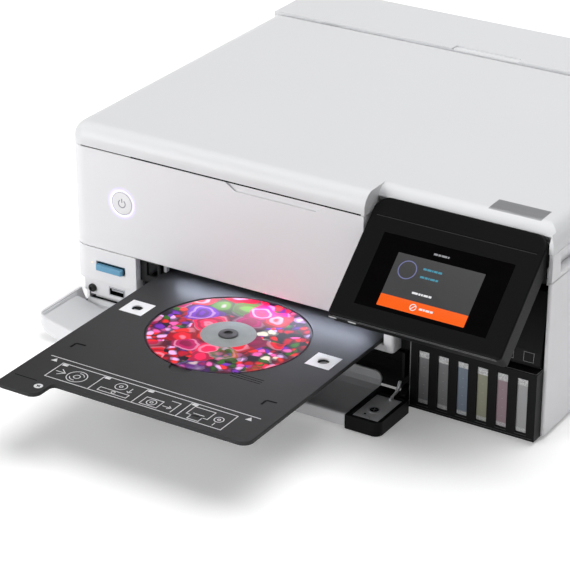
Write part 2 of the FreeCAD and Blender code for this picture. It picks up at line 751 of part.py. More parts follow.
@step
def front_fascia():
    """White front plate that turns round the left corner, above the slot."""
    right = fascia_right
    foot, top = D["FasciaFoot"], unit_top
    p = Piece("front_fascia")
    p.pad("Z", foot, top, poly(
        (-half, 0.0), (right, 0.0), (right, wall), (-inner, wall),
        (-inner, D["FasciaWrap"]), (-half, D["FasciaWrap"])))
    p.fillet(D["CornerRadius"], straight("z", x=-half, y=0.0))
    p.fillet(D["CornerRadius"] - wall, straight("z", x=-inner, y=wall))
    p.pad("Z", foot, foot + wall, rect(-D["ReaderRight"] + 4.0, wall, right, 8.0))
    p.pad("X", right - wall, right, rect(wall, foot, 24.0, top))
    p.cut("Y", 0.0, wall, disc(-D["ButtonAcross"], D["ButtonUp"], D["RingRadius"]))
    # finger scoop under the lid's front edge
    p.cut("Y", 0.0, 1.6, poly(
        (-58.5, top), (-50.0, top - 5.7), (18.4, top - 5.7), (27.5, top)))
    p.chamfer(0.7, within(flat(y=0.0, z=foot), x=(-190.0, 60.0)))


def switch_front():
    """Front of the small switch behind the power button."""
    return wall + 6.4


@step
def power_button():
    """Round button with its stem, and the translucent ring round it."""
    x, z = -D["ButtonAcross"], D["ButtonUp"]
    ring_in = D["RingRadius"] - D["RingWall"]
    ring = minus(rod("Y", size_of(0.0), wall + 1.5, x, z, D["RingRadius"]),
                 rod("Y", size_of(-1.0), wall + 3.0, x, z, ring_in))
    keep("button_light_ring", ring)
    p = Piece("power_button")
    p.pad("Y", -0.2, 4.4, disc(x, z, D["ButtonRadius"]))
    p.pad("Y", 4.4, switch_front() - D["ButtonTravel"] - 0.1, disc(x, z, 3.0))
    p.fillet(0.6, flat(y=-0.2))


@step
def button_board():
    """Small board on two pillars behind the fascia, with the push switch."""
    x, z = -D["ButtonAcross"], D["ButtonUp"]
    front = switch_front() + 1.1
    p = Piece("button_board")
    p.pad("Y", front, front + 1.6, rect(x - 18.0, z - 11.0, x + 18.0, z + 11.0))
    for side in (-15.0, 15.0):
        p.pad("Y", wall, front, disc(x + side, z, 2.0))
    p.pad("Y", switch_front(), front, rect(x - 3.0, z - 3.0, x + 3.0, z + 3.0))


def usb_middle():
    return size_of(-165.0), size_of(24.0)


@step
def card_reader_housing():
    """White block under the fascia's left end: card slot above, socket recess below."""
    right = -D["ReaderRight"]
    top, foot, low = D["FasciaFoot"] - gap, D["ReaderFoot"], size_of(17.5)
    back = size_of(30.0)
    recess_left = -half + 11.5
    p = Piece("card_reader_housing")
    p.pad("Z", foot, top, poly(
        (-half, 0.0), (right, 0.0), (right, back), (-inner, back),
        (-inner, D["FasciaWrap"]), (-half, D["FasciaWrap"])))
    p.fillet(D["CornerRadius"], straight("z", x=-half, y=0.0))
    p.pad("Z", low, foot, rect(recess_left, 8.0, right, back))
    p.pad("Z", low, foot, rect(-inner + 0.5, 12.0, recess_left, back))
    x, z = -D["CardAcross"], D["CardUp"]
    w, t = D["CardWidth"] / 2 + 1.0, D["CardThickness"] / 2 + 0.4
    p.cut("Y", 0.0, back, rect(x - w, z - t, x + w, z + t + 0.8))
    sx, sz = usb_middle()
    p.cut("Y", 8.0, back, rect(sx - 7.5, sz - 3.8, sx + 7.5, sz + 3.8))
    p.chamfer(0.6, within(flat(y=0.0), z=(z - t - 0.1, z + t + 0.9), x=(x - w - 0.1, x + w + 0.1)))


@step
def usb_port():
    """Host socket: folded metal shell round a contact tongue."""
    x, z = usb_middle()
    p = Piece("usb_port")
    p.pad("Y", 7.6, 22.0, rect(x - 7.4, z - 3.6, x + 7.4, z + 3.6))
    p.cut("Y", 7.6, 19.0, rect(x - 6.6, z - 2.8, x + 6.6, z + 2.8))
    p.pad("Y", 9.0, 19.5, rect(x - 5.8, z + 0.2, x + 5.8, z + 2.2))


@step
def memory_card():
    """Card standing a little out of its slot, with one cut corner at the back."""
    x, z = -D["CardAcross"], D["CardUp"]
    w, t = D["CardWidth"] / 2, D["CardThickness"] / 2
    y0 = -D["CardStandsOut"]
    y1 = y0 + D["CardLength"]
    p = Piece("memory_card")
    p.pad("Z", z - t, z + t, poly(
        (x - w, y0), (x + w, y0), (x + w, y1 - 4.0), (x + w - 4.0, y1), (x - w, y1)))
    p.fillet(1.6, either(straight("z", x=x - w, y=y0), straight("z", x=x + w, y=y0)))
    p.fillet(0.5, flat(z=z + t))


jamb_left = tray_right + 2.0
slot_right = jamb_left + D["JambWidth"]


@step
def slot_frame():
    """Dark frame inside the front opening, with the cheek left of the tray."""
    low, top = bay_top, D["FasciaFoot"]
    right = tank_left - 0.5
    cheek = tray_left + 0.5
    p = Piece("slot_frame")
    p.pad("Y", 5.0, 7.5, rect(-D["ReaderRight"] + 0.7, low, slot_right - 2.7, top))
    p.pad("Y", 12.0, 14.5, rect(slot_right - 5.2, low, right, top))
    p.pad("X", slot_right - 5.2, slot_right - 2.7, rect(7.5, low, 12.0, top))
    # mouth of the slot
    p.cut("Y", 5.0, 7.5, rect(cheek - 1.0, tray_floor - 1.2, tray_right + 2.0, top - 2.0))
    # square opening in the cheek
    frame_left = -D["ReaderRight"] + 0.7
    span = tray_left - frame_left
    p.cut("Y", 5.0, 7.5, rect(
        frame_left + span / 3, bay_top + 5.3, tray_left - span / 9, top - 3.4))


@step
def slot_sill():
    """White sill across the opening under the disc tray, with the jamb at its right."""
    low, top = bay_top, D["FasciaFoot"] - gap
    p = Piece("slot_sill")
    p.pad("Y", 0.0, wall, poly(
        (tray_left - 0.5, low), (slot_right, low), (slot_right, top),
        (jamb_left, top), (jamb_left, tray_floor - 1.0), (tray_left - 0.5, tray_floor - 1.0)))
    p.pad("X", slot_right - wall, slot_right, rect(wall, low, 12.0, top))
    p.pad("Y", wall, 5.0, rect(tray_left - 0.5, low, tray_left + 9.0, tray_floor - 1.2))
    p.fillet(2.4, straight("z", x=slot_right, y=0.0))


# ---------------------------------------------------------------- paper cassettes and disc tray


def tray_stack_piece(node, low, top, back, flange):
    """An open box in the paper bay; a flange each side rides on the bay's ledges."""
    side = D["LedgeReach"] + D["RunGap"]
    left, right = bay_left + D["RunGap"], bay_right - D["RunGap"]
    front, thick = D["BayFront"], D["CassetteWall"]
    p = Piece(node)
    if flange:
        p.pad("Z", low, top, rect(left + side, front, right - side, back))
        p.pad("Z", top - 1.7, top - 0.5, rect(left, front + 2.5, left + side, back),
              rect(right - side, front + 2.5, right, back))
        body_left, body_right = left + side, right - side
    else:
        p.pad("Z", low, top, rect(left, front, right, back))
        body_left, body_right = left, right
    p.cut("Z", low + thick, top, rect(
        body_left + thick, front + 2.4, body_right - thick, back - thick))
    return p


@step
def cassettes():
    """A4 cassette on the deck, photo cassette on its ledges, each with edge guides."""
    front = D["BayFront"]
    a4 = tray_stack_piece("paper_cassette", cassette_floor, cassette_top,
                          front + D["CassetteDepth"], False)
    floor, low_top = cassette_floor + D["CassetteWall"], cassette_top - 1.0
    middle = (bay_left + bay_right) / 2
    for x in (bay_left + 7.0, bay_right - 9.0):
        a4.pad("X", x, x + 2.0, rect(120.0, floor, 200.0, low_top))
    a4.pad("Y", 310.0, 312.0, rect(middle - 12.0, floor, middle + 12.0, low_top))
    a4.cut("Y", front, front + 1.0, rect(
        middle - 30.0, cassette_floor + 3.0, middle + 30.0, cassette_top))

    photo = tray_stack_piece("photo_cassette", photo_floor, photo_top,
                             front + D["PhotoDepth"], True)
    floor, low_top = photo_floor + D["CassetteWall"], photo_top - 1.0
    for side in (-52.0, 50.0):
        photo.pad("X", middle + side, middle + side + 2.0, rect(90.0, floor, 150.0, low_top))
    photo.cut("Y", front, front + 1.0, rect(
        middle - 22.0, photo_floor + 3.0, middle + 22.0, photo_top))


@step
def output_stacker():
    """Thin shelf above the cassettes that catches the printed sheets."""
    side = D["LedgeReach"] + D["RunGap"]
    left, right = bay_left + D["RunGap"], bay_right - D["RunGap"]
    front, back = D["BayFront"] + 2.0, D["BayFront"] + D["StackerDepth"]
    p = Piece("output_stacker")
    p.pad("Z", stacker_floor, stacker_top, rect(left + side, front, right - side, back))
    p.pad("Z", stacker_top - 1.1, stacker_top, rect(left, front, left + side, back),
          rect(right - side, front, right, back))
    p.chamfer(0.8, straight("x", y=front, z=stacker_top))
    middle = (bay_left + bay_right) / 2
    p.cut("Z", stacker_floor, stacker_top, rect(middle - 14.0, front, middle + 14.0, front + 10.0))


@step
def disc_tray():
    """Dark tray with a round recess, a finger tab and two wells for the white pads."""
    front = -D["TrayFront"]
    tab_left, tab_right = tray_left, tray_left + D["TabWidth"]
    tab_front = front - D["TabReach"]
    p = Piece("disc_tray")
    p.pad("Z", tray_floor, D["TrayTop"], poly(
        (tab_left, tab_front), (tab_right, tab_front), (tab_right, front),
        (tray_right, front), (tray_right, D["TrayBack"]), (tray_left, D["TrayBack"])))
    p.fillet(8.0, straight("z", x=tray_right, y=front))
    p.fillet(7.0, either(straight("z", x=tab_left, y=tab_front),
                         straight("z", x=tab_right, y=tab_front)))
    p.fillet(4.0, straight("z", x=tab_right, y=front))
    p.cut("Z", disc_floor, D["TrayTop"], disc(tray_middle, disc_y, recess_radius))
    # finger notch at the recess's edge, and the wells of the pads
    p.cut("Z", disc_floor, D["TrayTop"], disc(tray_middle, disc_y - D["DiscRadius"] - 1.0, 9.0))
    for side in (-1.0, 1.0):
        x = tray_middle + D["PadApart"] * side
        r = D["PadSize"] / 2
        p.cut("Z", D["TrayTop"] - 1.0, D["TrayTop"], rect(x - r, disc_y - r, x + r, disc_y + r))
        p.cut("Z", tray_floor, D["TrayTop"] - 1.0, disc(x, disc_y, D["PadHole"]))
    p.chamfer(0.5, flat(z=D["TrayTop"], x=tray_right))


@step
def tray_fittings():
    """Centring hub, registration pads and the disc itself."""
    hub = Piece("disc_hub")
    hub.pad("Z", disc_floor, disc_top + 1.1, disc(tray_middle, disc_y, D["HubRadius"]))
    hub.fillet(0.6, flat(z=disc_top + 1.1))
    hub.cut("Z", disc_top - 0.2, disc_top + 1.1, disc(tray_middle, disc_y, 3.4))
    pads = Piece("registration_pads")
    for side in (-1.0, 1.0):
        x = tray_middle + D["PadApart"] * side
        r = D["PadSize"] / 2 - 0.05
        pads.pad("Z", D["TrayTop"] - 1.0, D["TrayTop"],
                 rect(x - r, disc_y - r, x + r, disc_y + r))
        pads.cut("Z", D["TrayTop"] - 1.0, D["TrayTop"], disc(x, disc_y, D["PadHole"]))
    plate = Piece("disc")
    plate.pad("Z", disc_floor, disc_top, disc(tray_middle, disc_y, D["DiscRadius"]))
    plate.cut("Z", disc_floor, disc_top, disc(tray_middle, disc_y, D["DiscBore"]))


# ---------------------------------------------------------------- print engine


@step
def platen():
    """Ribbed plate under the print head."""
    left, right = bay_left - D["BayWall"], bay_right + D["BayWall"]
    p = Piece("platen")
    p.pad("Z", bay_top, bay_top + 3.0, rect(left, D["PlatenFront"], right, D["PlatenBack"]))
    for i in range(9):
        x = bay_left + 12.0 + (bay_right - bay_left - 30.0) / 8 * i
        p.pad("Z", bay_top + 3.0, D["PlatenTop"], rect(
            x, D["PlatenFront"] + 6.0, x + 2.0, D["PlatenBack"] - 6.0))


@step
def rollers():
    """Feed and exit rollers on shafts that turn in the bay's walls."""
    left, right = bay_left - D["BayWall"], bay_right + D["BayWall"]
    for node, y in (("feed_roller", D["FeedBack"]), ("exit_roller", D["ExitBack"])):
        parts = [rod("X", left, right, y, roller_z, D["ShaftRadius"])]
        for i in range(5):
            x = bay_left + 12.0 + (bay_right - bay_left - 16.0) / 5 * i
            parts.append(rod("X", x, x + 30.0, y, roller_z, D["RollerRadius"]))
        keep(node, fuse(*parts))


@step
def print_frame():
    """Folded steel frame that carries the guide rod and the carriage motor."""
    left, right = -half + 16.5, half - 4.0
    web = size_of(178.0)
    p = Piece("print_frame")
    p.pad("Y", web, web + 1.5, rect(left, 56.0, right, frame_top))
    p.pad("Z", frame_top - 1.5, frame_top, rect(left, 150.0, right, web))
    p.pad("X", left, left + 1.5, rect(128.0, base_top, web + 1.5, frame_top))
    p.pad("X", right - 1.5, right, rect(128.0, base_top, web + 1.5, frame_top))
    rod_hole = disc(D["RodBack"], D["RodUp"], D["RodRadius"])
    p.cut("X", left, right, rod_hole)
    p.cut("Y", web, web + 1.5, disc(half - D["PulleyRight"], frame_top - 14.0, 3.0))
    guide = rod("X", left, right, D["RodBack"], D["RodUp"], D["RodRadius"])
    keep("guide_rod", guide)


@step
def belt_drive():
    """Belt loop with its idler, the driven pulley and the carriage motor."""
    radius, thick = D["PulleyRadius"], D["BeltThickness"]
    z = frame_top - 14.0
    left, right = -half + D["PulleyLeft"], half - D["PulleyRight"]
    belt = Piece("drive_belt")
    middle, reach = (left + right) / 2, (right - left) / 2
    belt.pad("Y", 168.0, 174.0, stadium(middle, z, reach, radius + thick + 0.05))
    belt.cut("Y", 168.0, 174.0, stadium(middle, z, reach, radius + 0.05))
    belt.pad("Y", 168.0, 178.0, disc(left, z, radius))
    pulley = fuse(rod("Y", size_of(167.5), size_of(174.5), right, z, radius),
                  rod("Y", size_of(174.5), size_of(181.0), right, z, size_of(2.0)))
    keep("drive_pulley", pulley)
    motor = minus(rod("Y", size_of(179.5), size_of(205.0), right, z, size_of(13.5)),
                  rod("Y", size_of(178.5), size_of(182.0), right, z, size_of(2.06)))
    keep("carriage_motor", motor)


@step
def carriage():
    """Print carriage on the guide rod, with the head below and the ink dampers in it."""
    x0 = half - D["CarriageAcross"] - D["CarriageWidth"] / 2
    x1 = x0 + D["CarriageWidth"]
    head = D["TrayTop"] + D["HeadGap"]
    p = Piece("carriage")
    p.pad("Z", head + 6.0, frame_top - 2.0, rect(x0, 130.0, x1, 166.0))
    p.pad("Z", head, head + 6.0, rect(x0 + 8.0, 132.0, x1 - 8.0, 150.0))
    p.cut("Z", frame_top - 20.0, frame_top - 2.0, rect(x0 + 2.0, 132.0, x1 - 2.0, 160.0))
    for i in range(6):
        x = x0 + 3.5 + 9.0 * i
        p.pad("Z", frame_top - 20.0, frame_top - 6.0, rect(x, 134.0, x + 7.0, 158.0))
    p.cut("X", x0, x1, disc(D["RodBack"], D["RodUp"], D["RodRadius"] + D["PinClearance"]))


@step
def feed_motor():
    """Motor of the paper feed on its foot, left of the bay."""
    can = rod("X", size_of(-178.0), size_of(-152.0), 235.0, 30.0, size_of(13.0))
    shaft = rod("X", size_of(-152.0), bay_left - D["BayWall"] - 0.2, 235.0, 30.0, size_of(2.0))
    foot = block(size_of(-176.0), size_of(-154.0), size_of(226.0), size_of(244.0),
                 base_top, size_of(24.0))
    keep("feed_motor", fuse(can, shaft, foot))


# ---------------------------------------------------------------- ink tanks


def tank_middle(i):
    return tank_left + D["TankFirst"] + D["TankPitch"] * i


@step
def tank_housing():
    """Black housing of the ink tanks: windows below, sloping walls above a ledge."""
    x0, x1 = tank_left, tank_right
    front, back = D["TankFront"], D["TankDepth"]
    low, ledge, top = D["FootHeight"], D["TankLedge"], tank_deck
    p = Piece("tank_housing")
    p.pad("Z", low, low + 2.0, rect(x0, front, x1, back))
    p.pad("Y", front, front + wall, rect(x0, low + 2.0, x1, ledge))
    p.pad("Z", ledge - wall, ledge, rect(x0, front + wall, x1, 12.5))
    # the walls step back at the top, where the cover's upper edge swings through
    step_y, step_z = D["FlapHingeBack"] + 1.6, flap_up + 1.8
    side = poly((front + wall, low + 2.0), (back, low + 2.0), (back, top), (step_y, top),
                (step_y, step_z), (19.8, step_z), (12.5, ledge), (12.5, ledge - wall),
                (front + wall, ledge - wall))
    p.pad("X", x0, x0 + 2.0, side)
    p.pad("X", x1 - 2.0, x1, side)
    p.pad("Y", back - 2.0, back, rect(x0 + 2.0, low + 2.0, x1 - 2.0, top))
    p.pad("Z", top - wall, top, rect(x0 + 2.0, 26.0, x1 - 2.0, back - 2.0))
    half_window = D["WindowWidth"] / 2
    windows = [rect(tank_middle(i) - half_window, D["WindowFoot"],
                    tank_middle(i) + half_window, D["WindowTop"]) for i in range(6)]
    p.cut("Y", front, front + wall, *windows)
    p.cut("X", x0, x0 + 2.0, disc(D["CoverHingeBack"], D["CoverHingeUp"], 2.06))
    for a, b in ((x0, x0 + 2.0), (x1 - 2.0, x1)):
        p.cut("X", a, b, disc(D["FlapHingeBack"], flap_up, 1.26))
    p.chamfer(0.5, straight("x", y=front, z=ledge))


@step
def ink_tanks():
    """Six tanks, each with a window boss in front, a filler neck and a hinge post."""
    front, low = D["TankFront"] + wall, D["FootHeight"] + 2.0
    top, w = D["TankTop"], D["TankWidth"] / 2
    p = Piece("ink_tanks")
    middles = [tank_middle(i) for i in range(6)]
    boss = D["WindowWidth"] / 2 - 0.1
    p.pad("Z", low, top, *(rect(x - w, front, x + w, 122.0) for x in middles))
    p.cut("Z", low + 4.0, top - 2.0, *(rect(x - w + 1.6, 8.0, x + w - 1.6, 119.0) for x in middles))
    p.pad("Y", front - 1.5, front, *(
        rect(x - boss, D["WindowFoot"] + 0.1, x + boss, D["WindowTop"] - 0.1) for x in middles))
    p.pad("Z", top, top + D["NeckHeight"], *(disc(x, 32.0, D["NeckRadius"]) for x in middles))
    p.cut("Z", top - 2.0, top + D["NeckHeight"], *(disc(x, 32.0, D["NeckBore"]) for x in middles))
    p.pad("Z", top, top + D["NeckHeight"] - 0.1, *(
        rect(x - 4.0, 40.0, x + 4.0, 43.8) for x in middles))


@step
def tank_caps():
    """Hinged cap on each filler neck, with a plug in the opening."""
    low = D["TankTop"] + D["NeckHeight"] + gap
    top = low + 2.7
    for i in range(6):
        x = tank_middle(i)
        p = Piece(f"tank_cap_{i + 1}")
        p.pad("Z", low, top, rect(x - 6.0, 24.0, x + 6.0, 44.0))
        p.fillet(1.3, straight("x", y=44.0))
        p.fillet(3.0, either(straight("z", x=x - 6.0, y=24.0), straight("z", x=x + 6.0, y=24.0)))
        p.pad("Z", low - 3.0, low, disc(x, 32.0, D["NeckBore"] - 0.9))


@step
def tank_cover():
    """Sloping flap over the fillers, hung on two pins near its top."""
    x0, x1 = tank_left + 0.6, tank_right - 1.4
    y, z = D["FlapHingeBack"], flap_up
    p = Piece("tank_cover")
    foot, top = D["TankLedge"] + 1.5, z + 3.5
    p.pad("X", x0, x1, poly((9.0, foot), (11.5, foot), (19.5, top), (17.0, top)))
    for a, b in ((tank_left + 2.4, tank_left + 5.4),
                 (tank_right - 5.4, tank_right - 2.4)):
        p.pad("X", a, b, rect(17.6, z - 2.5, y, z + 2.5))
        p.pad("X", a, b, disc(y, z, 2.5))
    p.pad("X", tank_left + 0.6, tank_left + 2.4, disc(y, z, 1.2))
    p.pad("X", tank_right - 2.4, tank_right - 0.6, disc(y, z, 1.2))
    p.fillet(0.8, straight("x", y=17.0, z=top))


# ---------------------------------------------------------------- front cover


@step
def front_cover():
    """Cover folded down in front: curled white shell, silver liner, black latch end."""
    y0, x0, split = -D["CoverReach"], -half, cover_split
    low, lip = D["CoverUnder"], D["CoverUnder"] + D["CoverLip"]
    hy, hz = D["CoverHingeBack"], D["CoverHingeUp"]
    back, side_top = size_of(9.0), D["CoverSideTop"]
    shell = Piece("front_cover_shell")
    shell.pad("Y", y0 + wall, back, poly(
        (x0, side_top), (x0, low), (split, low), (split, low + wall),
        (x0 + wall, low + wall), (x0 + wall, side_top)))
    shell.fillet(D["CornerRadius"], straight("y", x=x0, z=low))
    shell.fillet(D["CornerRadius"] - wall, straight("y", x=x0 + wall, z=low + wall))
    rim = poly((x0, side_top), (x0, low), (split, low), (split, lip), (x0 + 10.0, lip),
               (x0 + 10.0, side_top))
    shell.pad("Y", y0, y0 + wall, rim)
    shell.cut("Y", y0, y0 + wall, spandrel(x0, low, -1, -1, D["CornerRadius"]))
    # room for the base's ear beside the hinge pin
    shell.cut("X", x0 + wall + 4.0, x0 + wall + 8.0, rect(hy - 3.6, low + wall, back, hz + 4.0))
    shell.pad("X", x0 + wall, x0 + wall + 4.0, disc(hy, hz, 3.4))
    shell.pad("X", x0 + wall + 4.0, x0 + wall + 7.3, disc(hy, hz, 2.0))
    shell.fillet(1.2, within(flat(y=y0, z=lip), x=(x0 + 10.0, split)))

    liner = Piece("front_cover_liner")
    left = -half + 11.5
    floor, scoop = low + wall, D["ScoopTop"]
    liner.pad("X", left, split, poly(
        (y0 + 2.8, floor), (y0 + 4.3, floor), (y0 + 4.3, 7.1), (-3.0, 9.5), (3.6, 11.5),
        (6.4, 15.6), (7.4, scoop), (6.0, scoop), (5.0, 16.0), (2.5, 12.8), (-3.0, 11.0),
        (y0 + 2.8, 8.6)))
    for x in (left, size_of(-120.0), size_of(-50.0), size_of(20.0), split - 1.5):
        liner.pad("X", x, x + 1.5, poly((y0 + 4.3, floor), (2.0, floor), (2.0, 10.9),
                                        (-3.0, 9.5), (y0 + 4.3, 7.1)))
    liner.cut("Y", y0 + 2.0, 8.0, rect(
        left - 1.0, floor - 1.0, x0 + D["CornerRadius"] + 0.1, floor + 0.8))
    liner.cut("Y", 2.6, 8.0, rect(left - 1.0, 15.5, -D["ReaderRight"] + 1.7, scoop + 1.0))
    liner.cut("Y", 2.6, 8.0, spandrel(split, scoop, 1, 1, size_of(6.0)))

    # concave left end that rises to the rim
    corner_x, corner_z = x0 + D["CornerRadius"], low + D["CornerRadius"]
    rise_x, rim_top = x0 + 25.5, side_top - 0.4
    liner.pad("Y", y0 + 2.8, size_of(-1.0), poly(
        (corner_x - 12.2, rim_top), (corner_x - 12.2, corner_z), (corner_x - 11.46, corner_z - 4.17),
        (corner_x - 9.35, corner_z - 7.84), (corner_x - 6.1, corner_z - 10.57),
        (corner_x + 0.5, floor + 0.9), (rise_x, floor + 0.9), (rise_x, rim_top)))
    bowl = size_of(27.4)
    liner.cut("Y", y0 + 2.8, size_of(-1.0), disc(rise_x, floor + 4.7 + bowl, bowl))
    liner.cut("Y", y0 + 2.8, size_of(-1.0), rect(
        corner_x - 10.0, floor + 8.0 + D["CoverLip"] / 2, rise_x + 1.0, rim_top + 1.0))

    end = Piece("front_cover_end")
    right = cover_right
    joint = split + 0.2
    bottom, top = low - 1.0, lip + 0.3
    rear, narrow = size_of(-4.0), tank_left - 0.5
    end.pad("Z", bottom, top, poly(
        (joint, y0), (right, y0), (right, rear), (narrow, rear), (narrow, 4.0), (joint, 4.0)))
    end.fillet(6.0, straight("z", x=right, y=y0))
    end.cut("Z", top - 3.3, top, rect(joint + 2.6, y0 + 2.8, right - 2.8, -6.0))
    end.cut("Z", bottom, top - 5.0, rect(joint + 2.0, y0 + 2.5, right - 2.5, -7.0))
    end.pad("X", narrow - 4.9, narrow, disc(hy, hz, 9.5))
    end.cut("X", narrow - 4.9, narrow, rect(4.0, hz - 12.0, 17.0, hz))
    end.pad("X", narrow - 4.9, narrow, disc(hy, hz, 7.2))
    end.pad("X", narrow, narrow + 2.2, disc(hy, hz, 2.0))
    end.cut("Z", size_of(-3.0), bottom, rect(joint - 1.0, y0, right, 18.0))

    latch = Piece("cover_latch_plate")
    plate_low = top - 3.3
    plate = plate_low + 1.0
    latch.pad("Z", plate_low, plate, rect(joint + 2.8, y0 + 3.0, right - 3.0, -6.2))
    latch.fillet(4.0, straight("z", x=right - 3.0, y=y0 + 3.0))
    latch.pad("Z", plate, plate + 0.8, disc(split + 13.5, -28.6, 4.2))
    latch.cut("Z", plate_low, plate, disc(split + 15.8, -39.4, 1.0))
    latch.pad("X", split + 15.0, split + 17.0, poly(
        (-10.0, plate), (-10.0, plate + 1.6), (-7.0, 12.5), (-2.0, 13.4), (1.5, 16.0),
        (3.6, 20.0), (5.2, 20.0), (3.4, 14.8), (0.0, 12.5), (-6.3, 12.35), (-6.3, plate)))


# ---------------------------------------------------------------- control panel


def on_panel():
    """Where the panel's own frame sits: its hinge, tilted by the panel's slope."""
    return dict(x=panel_middle, y=D["PanelHingeBack"], z=panel_up,
                tilt=D["PanelTilt"])


ARMS = (-49.0, 49.0)


@step
def control_panel():
    """Bezel, rear shell with hinge pins, touch glass and display of the control panel."""
    w = D["PanelWidth"] / 2
    low, high = -D["PanelBelow"], D["PanelAbove"]
    face, joint, back = D["PanelFace"], size_of(5.0), -D["PanelBack"]
    glass_w, glass_low = D["GlassWidth"] / 2, -D["GlassBelow"]
    glass_high = glass_low + D["GlassHeight"]
    bezel = Piece("panel_bezel", **on_panel())
    bezel.pad("Z", joint, face, rect(-w, low, w, high))
    bezel.fillet(D["PanelCorner"], either(straight("z", x=-w, y=high), straight("z", x=w, y=high)))
    bezel.fillet(3.0, either(straight("z", x=-w, y=low), straight("z", x=w, y=low)))
    bezel.fillet(1.5, flat(z=face))
    g = 0.1
    bezel.cut("Z", face - 1.1, face, rect(
        -glass_w - g, glass_low - g, glass_w + g, glass_high + g))
    bezel.cut("Z", joint, face - 1.1, rect(-36.0, glass_low + 2.0, 36.0, glass_high - 11.0))
    bezel.cut("Z", face - 0.6, face, rect(-w + 5.0, -3.2, w - 4.5, -2.4))
    glass = Piece("touch_glass", **on_panel())
    glass.pad("Z", face - 1.1, face - 0.05, rect(-glass_w, glass_low, glass_w, glass_high))
    screen = Piece("lcd_module", **on_panel())
    screen.pad("Z", joint + 0.1, face - 1.1, rect(
        -35.8, glass_low + 2.2, 35.8, glass_high - 11.2))

    rear = Piece("panel_back", **on_panel())
    rear.pad("Z", back, joint, rect(-w, low, w, high))
    rear.fillet(D["PanelCorner"], either(straight("z", x=-w, y=high), straight("z", x=w, y=high)))
    rear.fillet(3.0, either(straight("z", x=-w, y=low), straight("z", x=w, y=low)))
    rear.cut("X", -w - 1.0, w + 1.0, spandrel(high, back, 1, -1, size_of(6.0)))
    rear.cut("X", -w - 1.0, w + 1.0, spandrel(low, back, -1, -1, size_of(4.0)))
    rear.cut("Z", back + wall, joint, rect(-w + 3.0, low + 5.0, w - 3.0, high - 9.0))
    for x in ARMS:
        rear.pad("X", x - 8.0, x + 8.0, rect(-8.0, back + wall, 5.0, joint - 0.1))
        rear.cut("X", x - 4.5, x + 4.5, rect(-14.0, back - 1.0, 5.2, joint - 0.2))
        rear.pad("X", x - 4.6, x + 4.6, disc(0.0, 0.0, D["HingePin"]))


@step
def panel_bracket():
    """Plate on the scanner unit with the two arms that carry the control panel."""
    y1 = D["PanelBay"]
    hy, hz = D["PanelHingeBack"], panel_up
    low, high = unit_floor, hz - 0.2
    p = Piece("panel_bracket")
    p.pad("Y", y1 - 3.0, y1, rect(panel_middle - 59.0, low, panel_middle + 66.0, high))
    boss = D["HingePin"] + 1.7
    for arm in ARMS:
        x = panel_middle + arm
        p.pad("X", x - 4.0, x + 4.0, poly(
            (hy - boss + 0.2, hz), (hy, hz - boss + 0.1), (y1 - 3.0, low + 3.0), (y1 - 3.0, low + 9.0),
            (hy + boss - 0.2, hz)))
        p.pad("X", x - 4.0, x + 4.0, disc(hy, hz, boss))
        p.cut("X", x - 4.0, x + 4.0, disc(hy, hz, D["HingePin"] + D["PinClearance"]))
    p.pad("X", panel_middle + 60.0, panel_middle + 65.0, rect(18.0, unit_seam - 4.5, y1 - 3.0, unit_seam + 2.9))
    p.pad("X", panel_middle + 60.0, panel_middle + 65.0, rect(y1 - 3.0, low, y1, low + 1.0))


# ---------------------------------------------------------------- scanner unit and lid


@step
def scanner_housing():
    """Tub of the scanner with the front recess for the panel and a grip in its right side."""
    top = unit_top - D["GlassThickness"]
    low = unit_floor
    bay, step_right = D["PanelBay"], fascia_right - 2.9
    front, back, side = size_of(5.0), lid_back, D["FasciaWrap"] + 0.4
    left = -inner + 0.4
    p = Piece("scanner_housing")
    p.pad("Z", low, top, poly(
        (-half, side), (-half, back), (half, back), (half, D["SetBack"]),
        (inner - 0.5, D["SetBack"]), (inner - 0.5, bay), (step_right, bay), (step_right, front),
        (left + 12.6, front), (left, side - 1.4), (left, side)))
    p.cut("Z", low + 2.6, top, rect(-half + 13.5, 36.0, half - 13.5, back - 6.0))
    # the left flank slopes forward, so that it clears the fascia while the unit swings up
    p.cut("X", -half - 1.0, left, poly(
        (side - 1.0, low - 1.0), (side + 1.85, low - 1.0), (side - 0.05, top + 1.0),
        (side - 1.0, top + 1.0)))
    # grip
    p.cut("Y", 25.0, 125.0, poly(
        (half + 1.0, top - 0.2), (half - 0.2, top - 0.2), (half - 7.0, low + 2.9),
        (half + 1.0, low + 2.9)))
    p.pad("Z", low + 2.6, low + 5.2, rect(-half + 13.5, 160.0, half - 13.5, 166.0))
    p.pad("Y", D["CornerBack"], D["CornerBack"] + 3.0, rect(inner - 4.4, low, inner - 0.5, low + 7.6))
    p.pad("X", inner - 3.0, inner - 0.5, rect(D["CornerBack"] + 3.0, low, bay, low + 7.6))


